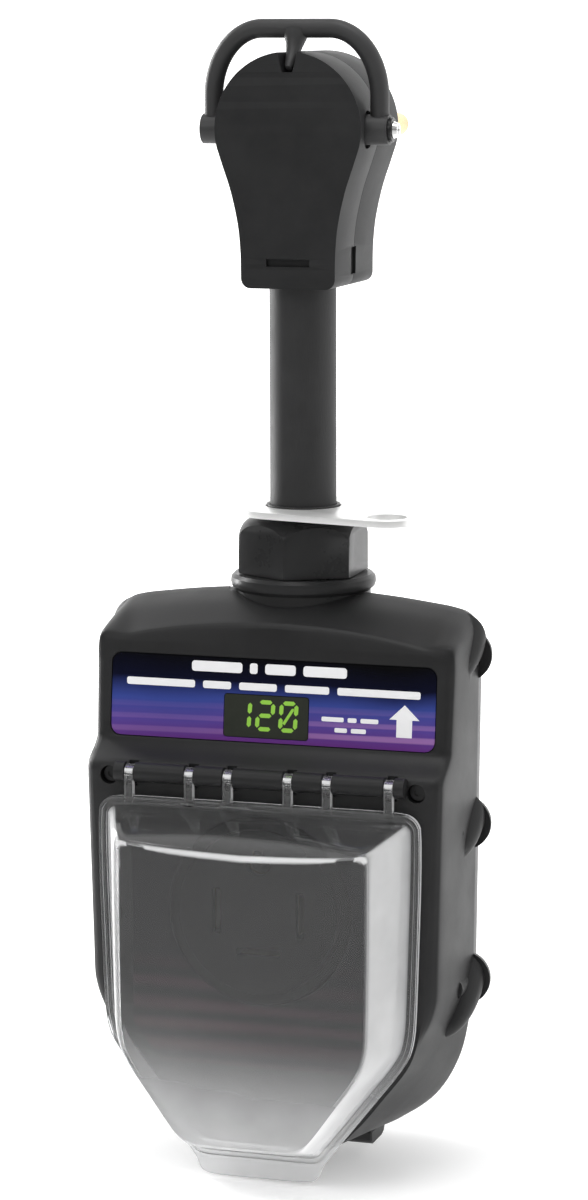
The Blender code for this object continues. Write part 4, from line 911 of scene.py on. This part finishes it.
def loft(name, rings, mat, cap=True, cols=1):
    """Half of a closed loft, x >= 0, mirrored across x = 0.  The last ring is closed by rows to the centre line, or
    by one flat face when cols is 0."""
    bm = bmesh.new()
    n = len(rings[0])
    grid = [[bm.verts.new(P(*p)) for p in ring] for ring in rings]
    for a, b in zip(grid, grid[1:]):
        for i in range(n - 1):
            bm.faces.new((a[i], a[i + 1], b[i + 1], b[i]))

    def rows(ring, pts):
        if cols == 0:
            bm.faces.new(ring)
            return
        inner = []
        for i in range(n):
            x, y, z = pts[i]
            if i in (0, n - 1):
                inner.append([ring[i]])
                continue
            cells = [ring[i]]
            for c in range(1, cols + 1):
                f = 1 - c / cols
                cells.append(bm.verts.new(P(x * f, y, z)))
            inner.append(cells)
        for i in range(n - 1):
            a, b = inner[i], inner[i + 1]
            for c in range(cols):
                if len(a) == 1:
                    bm.faces.new((a[0], b[c], b[c + 1]))
                elif len(b) == 1:
                    bm.faces.new((a[c], b[0], a[c + 1]))
                else:
                    bm.faces.new((a[c], b[c], b[c + 1], a[c + 1]))

    rows(grid[-1], rings[-1])
    if cap:
        rows(grid[0], rings[0])
    ob = new_mesh(name, bm, mat)
    m = ob.modifiers.new("halves", 'MIRROR')
    m.use_axis = (True, False, False)
    m.merge_threshold = 0.00001
    m.use_mirror_merge = True
    ob = bake(ob)
    fix = bmesh.new()
    fix.from_mesh(ob.data)
    bmesh.ops.recalc_face_normals(fix, faces=fix.faces)
    fix.to_mesh(ob.data)
    fix.free()
    return ob


def add_ear(bm, c, radii, tilt):
    """Long rounded ear whose front end drops."""
    bmesh.ops.create_uvsphere(bm, u_segments=44, v_segments=30, radius=1.0,
                              matrix=Matrix.Translation(P(*c)) @ Matrix.Rotation(math.radians(tilt), 4, 'X')
                              @ Matrix.Diagonal((radii[0] * MM, radii[1] * MM, radii[2] * MM, 1.0)))


front = loft("case_front", front_rings(0.0, SEAM_Y + 2.0), BLACK)
front = add(front, solid("case_front_lugs", [
    (add_ear, (((s * (LUG_X - 3.0), SEAM_Y - 2.0, z + up), (12.4, 25.0 + grow, 8.6), 42.0), {}))
    for s in (1, -1) for z, up, grow in zip(LUG_Z, (5.5, 2.0, -1.0), (-1.5, -2.0, 2.0))]))
front = add(front, cyl("hinge_barrel", (-60.3, HINGE_Y, HINGE_Z), (60.3, HINGE_Y, HINGE_Z), 4.0, seg=48))
front = add(front, box("hinge_web", (-60.0, -91.8, -257.4), (60.0, -88.0, -251.2)))
front = cut(front, loft("case_front_cavity", front_rings(WALL, SEAM_Y + 8.0), None))
inner = [(add_cyl, (((s * SCREW_X, -38.0, z), (s * SCREW_X, -60.2, z), 4.7), {"seg": 32}))
         for s in (1, -1) for z in LUG_Z]
inner += [(add_cyl, (((s * 64.0, -88.4, -256.2), (s * 64.0, -77.0, -256.2), 5.2), {"seg": 32})) for s in (1, -1)]
front = add(front, solid("case_front_bosses", inner))
front = add(front, box("hinge_backing", (-58.2, -88.6, -261.5), (58.2, -84.0, -251.5)))
front = cut(front, box("seam_trim_front", (-120, SEAM_Y - GAP / 2, -430), (120, 0.0, -170)))
front = cut(front, cyl("gland_hole_front", (0, CABLE_Y, -199.4), (0, CABLE_Y, -175), NECK_R + GAP, seg=80))
front = cut(front, cyl("collar_seat_front", (0, CABLE_Y, -186.2), (0, CABLE_Y, -170), COLLAR_R + 0.7, seg=96))


def tilted(name, loops, lo, hi, mat=None):
    """Outline about the label's centre, extruded along the label panel's outward normal."""
    ob = plate(name, loops, lo, hi, 'XY', mat)
    ob.matrix_world = Matrix.Translation(P(0, face_y(LABEL_Z), LABEL_Z)) \
        @ Matrix.Rotation(math.radians(LABEL_TILT), 4, 'X') @ Matrix.Translation((0, 0, (lo + hi) / 2 * MM))
    return ob


WIN = (-20.1, -15.0, 15.7, 2.5)
lab = rounded(-67.8, -16.6, 67.8, 16.6, 4.0)
win = rounded(*WIN, 1.2, 2)
front = cut(front, tilted("label_recess", [rounded(-68.2, -17.0, 68.2, 17.0, 4.4, 12)], -1.2, 4.0))
front = cut(front, tilted("window_hole", [rounded(WIN[0] + 0.9, WIN[1] + 0.9, WIN[2] - 0.9, WIN[3] - 0.9, 1.0, 2)],
                          -8.0, 4.0))
front = cut(front, solid("case_front_holes", [
    (add_cyl, (((0, -100, OUTLET_Z), (0, -80, OUTLET_Z), OUTLET_R + GAP), {"seg": 96})),
    (add_cyl, (((-58.3, HINGE_Y, HINGE_Z), (58.3, HINGE_Y, HINGE_Z), 1.8), {"seg": 24}))] + [
    (add_cyl, (((s * 64.0, -100.0, -256.2), (s * 64.0, -85.4, -256.2), 3.75), {"seg": 40})) for s in (1, -1)] + [
    (add_cyl, (((s * SCREW_X, -30.0, z), (s * SCREW_X, -59.2, z), 1.8), {"seg": 24}))
    for s in (1, -1) for z in LUG_Z]))
front = cut(front, solid("case_front_shanks", [
    (add_cyl, (((s * 64.0, -90.0, -256.2), (s * 64.0, -70, -256.2), 1.7), {"seg": 24})) for s in (1, -1)]))
front = cut(front, solid("hinge_slots", [
    (add_box, (((x - 2.1, -98.0, -259.6), (x + 2.1, -87.6, -248.6)), {})) for x in SLOT_X]))

rear = loft("case_back", back_rings(0.0, SEAM_Y - 2.0), BLACK)
rear = add(rear, solid("case_back_lugs", [
    (add_ball, (((s * LUG_X, SEAM_Y, z), (11.6, 12.0, 11.2)), {"u": 40, "v": 26})) for s in (1, -1) for z in LUG_Z]))
rear = cut(rear, loft("case_back_cavity", back_rings(WALL, SEAM_Y - 8.0), None))
rear = add(rear, solid("case_back_bosses", [
    (add_cyl, (((s * SCREW_X, -45.0, z), (s * SCREW_X, -31.5, z), 4.6), {"seg": 32})) for s in (1, -1) for z in LUG_Z]))
rear = cut(rear, box("seam_trim_back", (-120, -80.0, -430), (120, SEAM_Y + GAP / 2, -170)))
rear = cut(rear, cyl("gland_hole_back", (0, CABLE_Y, -199.4), (0, CABLE_Y, -175), NECK_R + GAP, seg=80))
rear = cut(rear, cyl("collar_seat_back", (0, CABLE_Y, -186.2), (0, CABLE_Y, -170), COLLAR_R + 0.7, seg=96))
rear = cut(rear, solid("case_back_recess", [
    (add_cyl, (((s * SCREW_X, -35.2, z), (s * SCREW_X, -15.0, z), 3.3), {"seg": 32})) for s in (1, -1) for z in LUG_Z]))
rear = cut(rear, solid("case_back_shanks", [
    (add_cyl, (((s * SCREW_X, -50.0, z), (s * SCREW_X, -30.0, z), 1.8), {"seg": 24}))
    for s in (1, -1) for z in LUG_Z]))
rear = cut(rear, plate("back_panel_recess", [rounded(-46, -372, 46, -222, 6, 12)], BACK_Y - 1.0, BACK_Y + 5, 'XZ'))

for i, (s, z) in enumerate([(s, z) for s in (-1, 1) for z in LUG_Z]):
    x = s * SCREW_X
    sc = cyl("case_screw_%d" % (i + 1), (x, -57.0, z), (x, -33.8, z), 1.5, seg=24, mat=STEEL)
    sc = add(sc, cyl("case_screw_cap_%d" % i, (x, -34.9, z), (x, -32.6, z), 2.9, 2.4, seg=32))
    cut(sc, cyl("case_screw_drive_%d" % i, (x, -33.6, z), (x, -30, z), 1.3, seg=6))


# ------------------------------------------------------------------ outlet
FACE_Y = -93.4
body = cyl("outlet_body", (0, -61.0, OUTLET_Z), (0, FACE_Y, OUTLET_Z), OUTLET_R, seg=96, mat=THERMO)
pockets = []
for s in (1, -1):
    x = s * LINE_Z
    pockets += [(add_box, (((x - 1.6, -99, OUTLET_Z - 9.1), (x + 1.6, -89.0, OUTLET_Z + 9.1)), {}))]
pockets += [(add_box, (((-9.1, -99, OUTLET_Z - 17.6), (9.1, -89.0, OUTLET_Z - 14.4)), {}))]
pockets += [(add_cyl, (((0, -99, OUTLET_Z + 20.6), (0, -66.0, OUTLET_Z + 20.6), 5.1), {"seg": 32}))]
body = cut(body, solid("outlet_slots", pockets))
wide = []
for s in (1, -1):
    x = s * LINE_Z
    wide += [(add_box, (((x - 3.1, -90.2, OUTLET_Z - 9.5), (x + 3.1, -66.0, OUTLET_Z + 9.5)), {}))]
wide += [(add_box, (((-9.5, -90.2, OUTLET_Z - 19.1), (9.5, -66.0, OUTLET_Z - 12.9)), {}))]
wide += [(add_cyl, (((0, -90.2, OUTLET_Z + 20.6), (0, -67.0, OUTLET_Z + 20.6), 6.3), {"seg": 32}))]
body = cut(body, solid("outlet_pockets", wide))

bz = turned("outlet_bezel", [(33.3, 2.4), (35.6, 2.4), (37.4, 1.5), (BEZEL_R, 0.0), (33.3, 0.0)], (0, 0), THERMO, 120)
bz.matrix_world = Matrix.Translation(P(0, PANEL_Y - GAP, OUTLET_Z)) @ Matrix.Rotation(math.pi / 2, 4, 'X')
card = plate("outlet_label", [[(53.0, -284.0), (54.0, -285.0), (54.0, -357.0), (42.5, -372.0), (-42.5, -372.0),
                             (-54.0, -357.0), (-54.0, -285.0), (-53.0, -284.0)]], PANEL_Y - GAP - 0.5, PANEL_Y - GAP, 'XZ',
             CARD)
cut(card, cyl("card_hole", (0, -80, OUTLET_Z), (0, -100, OUTLET_Z), BEZEL_R + GAP, seg=96))

for s, side_name in ((-1, "left"), (1, "right")):
    ps = cyl("panel_screw_" + side_name, (s * 64.0, -87.0, -256.2), (s * 64.0, -74.5, -256.2), 1.4, seg=24, mat=GLOSS)
    ps = add(ps, cyl("panel_cap_" + side_name, (s * 64.0, -87.6, -256.2), (s * 64.0, -85.8, -256.2), 3.2, 3.2, seg=32))
    cut(ps, cyl("panel_drive_" + side_name, (s * 64.0, -90.0, -256.2), (s * 64.0, -86.9, -256.2), 1.5, seg=6))


# ------------------------------------------------------------------ clear cover
FLANGE_Y = -94.6
CROWN_Y = -117.5
SHEET = 1.9


def soften(pts, times=2):
    """Cut the corners of an open line, its ends kept."""
    for _ in range(times):
        out = [pts[0]]
        for i, (a, b) in enumerate(zip(pts, pts[1:])):
            if i:
                out.append(tuple(0.75 * p + 0.25 * q for p, q in zip(a, b)))
            if i < len(pts) - 2:
                out.append(tuple(0.25 * p + 0.75 * q for p, q in zip(a, b)))
        out.append(pts[-1])
        pts = out
    return pts


def flange_half(d):
    """Right half of the flange outline, moved in by d, top centre to bottom centre."""
    pts = [(0.0, -263.2), (30.0, -263.2)]
    pts += [(59.6 + 8.0 * math.sin(a), -271.2 + 8.0 * math.cos(a)) for a in [math.radians(t) for t in (0, 45, 90)]]
    pts += [(65.5, -343.0), (64.6, -356.0), (61.5, -365.3), (45.0, -386.5)]
    tab = [(27.4, -409.0), (26.2, -411.0), (24.6, -415.6), (20.0, -417.2), (0.0, -417.2)]
    bottom = [(28.9, -407.1), (26.4, -409.3), (22.8, -410.2), (17.5, -410.3), (0.0, -410.3)]
    if d == 0.0:
        return pts + tab
    full = pts + bottom
    loop = full + [(-x, z) for x, z in reversed(full[1:-1])]
    loop = inset(loop[::-1], d)[::-1]
    return [(max(0.0, x), z) for x, z in loop[:len(full)]][:-1] + [(0.0, loop[len(full) - 1][1])]


def crown_half():
    top = [(0.0, -281.0), (28.0, -279.9), (44.5, -277.2), (49.6, -277.0), (51.0, -282.0)]
    low = [(51.0, -346.0), (50.4, -357.0), (47.4, -366.3), (38.2, -379.2)]
    low += [(29.6, -391.3), (25.9, -395.4), (20.6, -397.4), (14.5, -397.8), (0.0, -397.8)]
    return top + low


def cover_rings():
    """Flange, drafted walls with round edges, and a slightly domed crown."""
    inner = flange_half(5.2)
    inner[0] = (0.0, inner[1][1])
    crown = soften(crown_half())
    base = soften(inner)
    rings = [[(x, FLANGE_Y, z) for x, z in soften(flange_half(0.0))]]
    rings.append([(x, FLANGE_Y, z) for x, z in soften(flange_half(3.9))])
    rings.append([(x, FLANGE_Y - 1.3, z) for x, z in base])
    for g, h in spline([(0.0, 0.0), (0.30, 0.40), (0.60, 0.75), (0.82, 0.935), (1.0, 1.0)], 4)[1:-1]:
        rings.append([(a[0] + (b[0] - a[0]) * g, FLANGE_Y - 1.3 + (CROWN_Y - FLANGE_Y + 1.3) * h,
                       a[1] + (b[1] - a[1]) * g) for a, b in zip(base, crown)])
    rings.append([(x, CROWN_Y, z) for x, z in crown])
    for s in (0.96, 0.88, 0.72, 0.5, 0.28):
        rings.append([(x * s, CROWN_Y - 1.1 * (1 - s * s), -335.0 + (z + 335.0) * s) for x, z in crown])
    return rings


def rim_rib(name, d0, d1, rise):
    """A raised rib that follows the flange."""
    rib = plate(name, [loop_of(soften(flange_half(d0))), loop_of(soften(flange_half(d1)))], FLANGE_Y - rise,
                FLANGE_Y + 0.6, 'XZ')
    return bevel(rib, 0.4, 3, 60)


def loop_of(half):
    return (half + [(-x, z) for x, z in reversed(half[1:-1])])[::-1]



cover = loft("outlet_cover", cover_rings(), CLEAR, cap=False, cols=0)
sh = cover.modifiers.new("sheet", 'SOLIDIFY')
sh.thickness = SHEET * MM
sh.offset = -1.0
sh.use_even_offset = True
cover = bake(cover)
for d0, d1, rise in ((0.35, 1.55, 1.0), (2.3, 3.5, 0.8)):
    cover = add(cover, rim_rib("rim_rib_%d" % (d0 * 10), d0, d1, rise))
eye = arc(HINGE_Y, HINGE_Z, 3.2, -97.2, 180.0, 30)
arm = eye + [(-95.4, -256.0), (-95.4, -266.0), (-92.4, -266.0)]
for i, x in enumerate(SLOT_X):
    lug = plate("cover_lug_%d" % i, [arm, ring2(HINGE_Y, HINGE_Z, 1.8, 24)], x - 1.7, x + 1.7, 'YZ')
    cover = add(cover, lug)
set_origin(cover, 0, HINGE_Y, HINGE_Z)
cyl("hinge_pin", (-58.0, HINGE_Y, HINGE_Z), (58.0, HINGE_Y, HINGE_Z), 1.5, seg=24, mat=STEEL)

outer_seal = soften([(x, max(z, -402.6)) for x, z in flange_half(1.0)[:-4]] + [(0.0, -402.6)])
inner_seal = soften([(x, max(z, -399.4)) for x, z in flange_half(4.2)[:-4]] + [(0.0, -399.4)])
flange_seal = plate("cover_gasket", [loop_of(outer_seal), loop_of(inner_seal)], PANEL_Y - 2.1,
                    PANEL_Y - GAP, 'XZ', RUBBER)



# ------------------------------------------------------------------ print on the label, above the overlay's face
def art(name, shapes, lo, hi, mat):
    """Flat closed shapes in the label's own millimetres, as one thin piece."""
    ob = tilted(name, shapes, lo, hi, mat)
    bpy.context.view_layer.update()
    return ob


def bar(x0, y0, x1, y1):
    r = min(y1 - y0, x1 - x0) * 0.28
    return rounded(x0, y0, x1, y1, r, 4)


def words(x0, x1, y0, y1, lengths, gap):
    """Plain bars in place of words, spread from x0 to x1."""
    total = sum(lengths) + gap * (len(lengths) - 1)
    k = (x1 - x0) / total
    out, x = [], x0
    for w in lengths:
        out.append(bar(x, y0, x + w * k, y1))
        x += (w + gap) * k
    return out


title = words(-34.0, 31.0, 10.7, 14.9, (20, 3, 12, 17), 3.0)
tag = words(-61.5, 61.5, 4.0, 7.0, (22, 9, 12, 14, 26), 2.6)
note = words(21.0, 44.5, -6.6, -4.8, (10, 4, 8), 1.8) + words(26.5, 39.5, -10.8, -9.0, (5, 6), 1.6)
art("label_bars", title + tag + note, -0.2, -0.14, WHITE_INK_PAINTED_GLOW)
arrow = [(55.2, 1.5), (49.0, -4.4), (52.0, -4.4), (52.0, -11.4), (58.4, -11.4), (58.4, -4.4), (61.4, -4.4)]
art("label_arrow", [arrow[::-1]], -0.2, -0.14, WHITE_INK_PAINTED_GLOW)

SEGMENTS = {"a": ((0, 2), (1, 2)), "b": ((1, 1), (1, 2)), "c": ((1, 0), (1, 1)), "d": ((0, 0), (1, 0)),
            "e": ((0, 0), (0, 1)), "f": ((0, 1), (0, 2)), "g": ((0, 1), (1, 1))}


def segment(x0, y0, w, h, a, b, t):
    ax, ay = x0 + a[0] * w, y0 + a[1] * h / 2
    bx, by = x0 + b[0] * w, y0 + b[1] * h / 2
    d = Vector((bx - ax, by - ay)).normalized()
    n = Vector((-d.y, d.x))
    p, q = Vector((ax, ay)) + d * t * 0.28, Vector((bx, by)) - d * t * 0.28
    k = t / 2
    pts = [p, p + d * k + n * k, q - d * k + n * k, q, q - d * k - n * k, p + d * k - n * k]
    return [(v.x + (v.y - y0) * 0.05, v.y) for v in reversed(pts)]


lit = []
for i, on in enumerate(("bc", "abged", "abcdef")):
    x0 = -15.6 + 9.7 * i
    for s in on:
        lit.append(segment(x0, -11.2, 6.2, 10.8, *SEGMENTS[s], 1.7))
slash = segment(-15.6 + 19.4 + 0.9, -9.6, 4.4, 7.6, (0, 0), (1, 2), 1.2)
lit.append(slash)
art("readout_digits", lit, -0.1, -0.04, DIGIT)

# ------------------------------------------------------------------ finishes of the carried-over pieces
SLOT_OF = {s["node"]: s["material_slot"] for s in frame["record"]["subparts"]}
FINISH = {"moulded_black": BLACK, "gloss_black": GLOSS, "cable_rubber": RUBBER, "polished_steel": STEEL, "brass": BRASS,
          "wire_insulation": COPPER, "clear_cover": CLEAR, "label_print": LABEL, "smoked_window": SMOKED,
          "circuit_board": BOARD, "relay_case": DEVICE, "thermoset": THERMO}
WIRES = {"conductor_line_1": (0.020, 0.020, 0.022), "conductor_line_2": (0.42, 0.04, 0.03),
         "conductor_neutral": (0.75, 0.75, 0.73), "conductor_ground": (0.04, 0.30, 0.09)}
for name, ob in NODES.items():
    mat = FINISH[SLOT_OF[name]]
    if name in WIRES:
        mat = surface(name + "_insulation", WIRES[name], 0.42, grain=900.0, bump=0.10)
    if name in ("gland_seal", "gland_locknut"):
        mat = BUSH
    # painted shade: the outlet contacts get the darkened brass copy
    if name.startswith("outlet_contact"):
        mat = DARK_BRASS
    if name == "lock_plate":
        mat = PLATED
    if name == "bail_handle":
        mat = BAILBLACK
    ob.data.materials.clear()
    ob.data.materials.append(mat)

for ob in list(TOOLS.objects):
    bpy.data.objects.remove(ob, do_unlink=True)

# ------------------------------------------------------------------ every new piece rides on its body
bpy.context.view_layer.update()
for ob in list(PART.objects):
    base = ob.name[:-len(SKIN)]
    ob.data.transform(ob.matrix_world)
    ob.matrix_world = Matrix.Identity(4)
    if base in NODES:
        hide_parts(base)
        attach(ob, BODY[base])
        if not ob.data.materials:
            ob.data.materials.append(FINISH[SLOT_OF[base]])
    else:
        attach(ob, "case")

for name in ("line_blade_upper", "line_blade_lower", "neutral_blade", "foot_left", "foot_right", "label_overlay",
             "display_window"):
    ob = NODES[name]
    m = ob.modifiers.new("edge", 'BEVEL')
    m.width = 0.0002 if name in ("label_overlay", "display_window") else 0.0004
    m.segments = 2
    m.limit_method = 'ANGLE'
    m.angle_limit = math.radians(50)
    m.use_clamp_overlap = True

# ------------------------------------------------------------------ floor, backdrop, light
lo, hi = CAD_BOX


def stage_sheet():
    """Floor and backdrop in one swept sheet."""
    bm = bmesh.new()
    y_back, z0, r = 6.5, lo[2] - 0.0015, 1.2
    prof = [(-6.0, z0), (-0.4, z0), (0.3, z0), (1.5, z0), (y_back - r, z0)] + [(y_back - r + r * math.sin(a), z0 + r * (1 - math.cos(a)))
                                            for a in [math.pi / 2 * i / 16 for i in range(1, 17)]] + [(y_back, 7.0)]
    rows = [[bm.verts.new((x, y, z)) for y, z in prof] for x in (-7.0, 7.0)]
    for i in range(len(prof) - 1):
        bm.faces.new((rows[0][i], rows[1][i], rows[1][i + 1], rows[0][i + 1]))
    me = bpy.data.meshes.new("backdrop")
    bm.to_mesh(me)
    bm.free()
    me.shade_smooth()
    ob = bpy.data.objects.new("backdrop", me)
    bpy.context.scene.collection.objects.link(ob)
    n = Nodes("paper_white")
    near = n.span(n.xyz()[1], -0.34, -0.17, 0.25, 1.0, True)
    pale = n.mix(n.noise(3.0), (0.93, 0.93, 0.93), (0.95, 0.95, 0.95))
    n.feed(n.b.inputs["Base Color"], n.mix(near, (0.62, 0.62, 0.62), pale))
    n.b.inputs["Roughness"].default_value = 0.9
    n.b.inputs["Emission Color"].default_value = (1.0, 1.0, 1.0, 1.0)
    n.feed(n.b.inputs["Emission Strength"], n.math('MULTIPLY', n.span(n.xyz()[1], 0.0, 0.9, 0.30, 0.95, True), near))
    me.materials.append(n.m)
    return ob


stage_sheet()

world = bpy.data.worlds.new("studio")
bpy.context.scene.world = world
world.use_nodes = True
wt = world.node_tree
bg = wt.nodes["Background"]
bg.inputs["Color"].default_value = (1.0, 1.0, 1.0, 1.0)
way = wt.nodes.new("ShaderNodeSeparateXYZ")
wt.links.new(wt.nodes.new("ShaderNodeTexCoord").outputs["Generated"], way.inputs[0])


def world_span(socket, a, b, lo, hi):
    n = wt.nodes.new("ShaderNodeMapRange")
    n.clamp = True
    n.interpolation_type = 'SMOOTHSTEP'
    wt.links.new(socket, n.inputs["Value"])
    for k, v in zip(("From Min", "From Max", "To Min", "To Max"), (a, b, lo, hi)):
        n.inputs[k].default_value = v
    return n.outputs[0]


total = wt.nodes.new("ShaderNodeMath")
total.operation = 'ADD'
wt.links.new(world_span(way.outputs[2], -0.1, 0.9, 0.24, 0.55), total.inputs[0])
wt.links.new(world_span(way.outputs[1], -0.4, 0.9, 0.0, 0.40), total.inputs[1])
wt.links.new(total.outputs[0], bg.inputs["Strength"])


def softbox(name, at, target, w, h, power):
    d = bpy.data.lights.new(name, 'AREA')
    d.shape = 'RECTANGLE'
    d.size, d.size_y = w, h
    d.energy = power
    ob = bpy.data.objects.new(name, d)
    ob.location = at
    ob.rotation_euler = (Vector(target) - Vector(at)).to_track_quat('-Z', 'Y').to_euler()
    bpy.context.scene.collection.objects.link(ob)


MID = (0.0, -0.05, -0.18)
softbox("key", (-0.7, -1.6, 0.9), MID, 0.6, 0.6, 4.0)
softbox("right_strip", (1.35, 0.05, 0.10), MID, 0.6, 1.5, 3.0)
softbox("left_strip", (-1.2, 0.45, 0.0), MID, 0.3, 1.4, 20.0)
softbox("top", (0.1, -0.35, 1.25), MID, 1.0, 0.6, 6.5)

bpy.context.scene.view_settings.view_transform = 'Standard'
bpy.context.scene.view_settings.look = 'None'

bpy.context.view_layer.update()
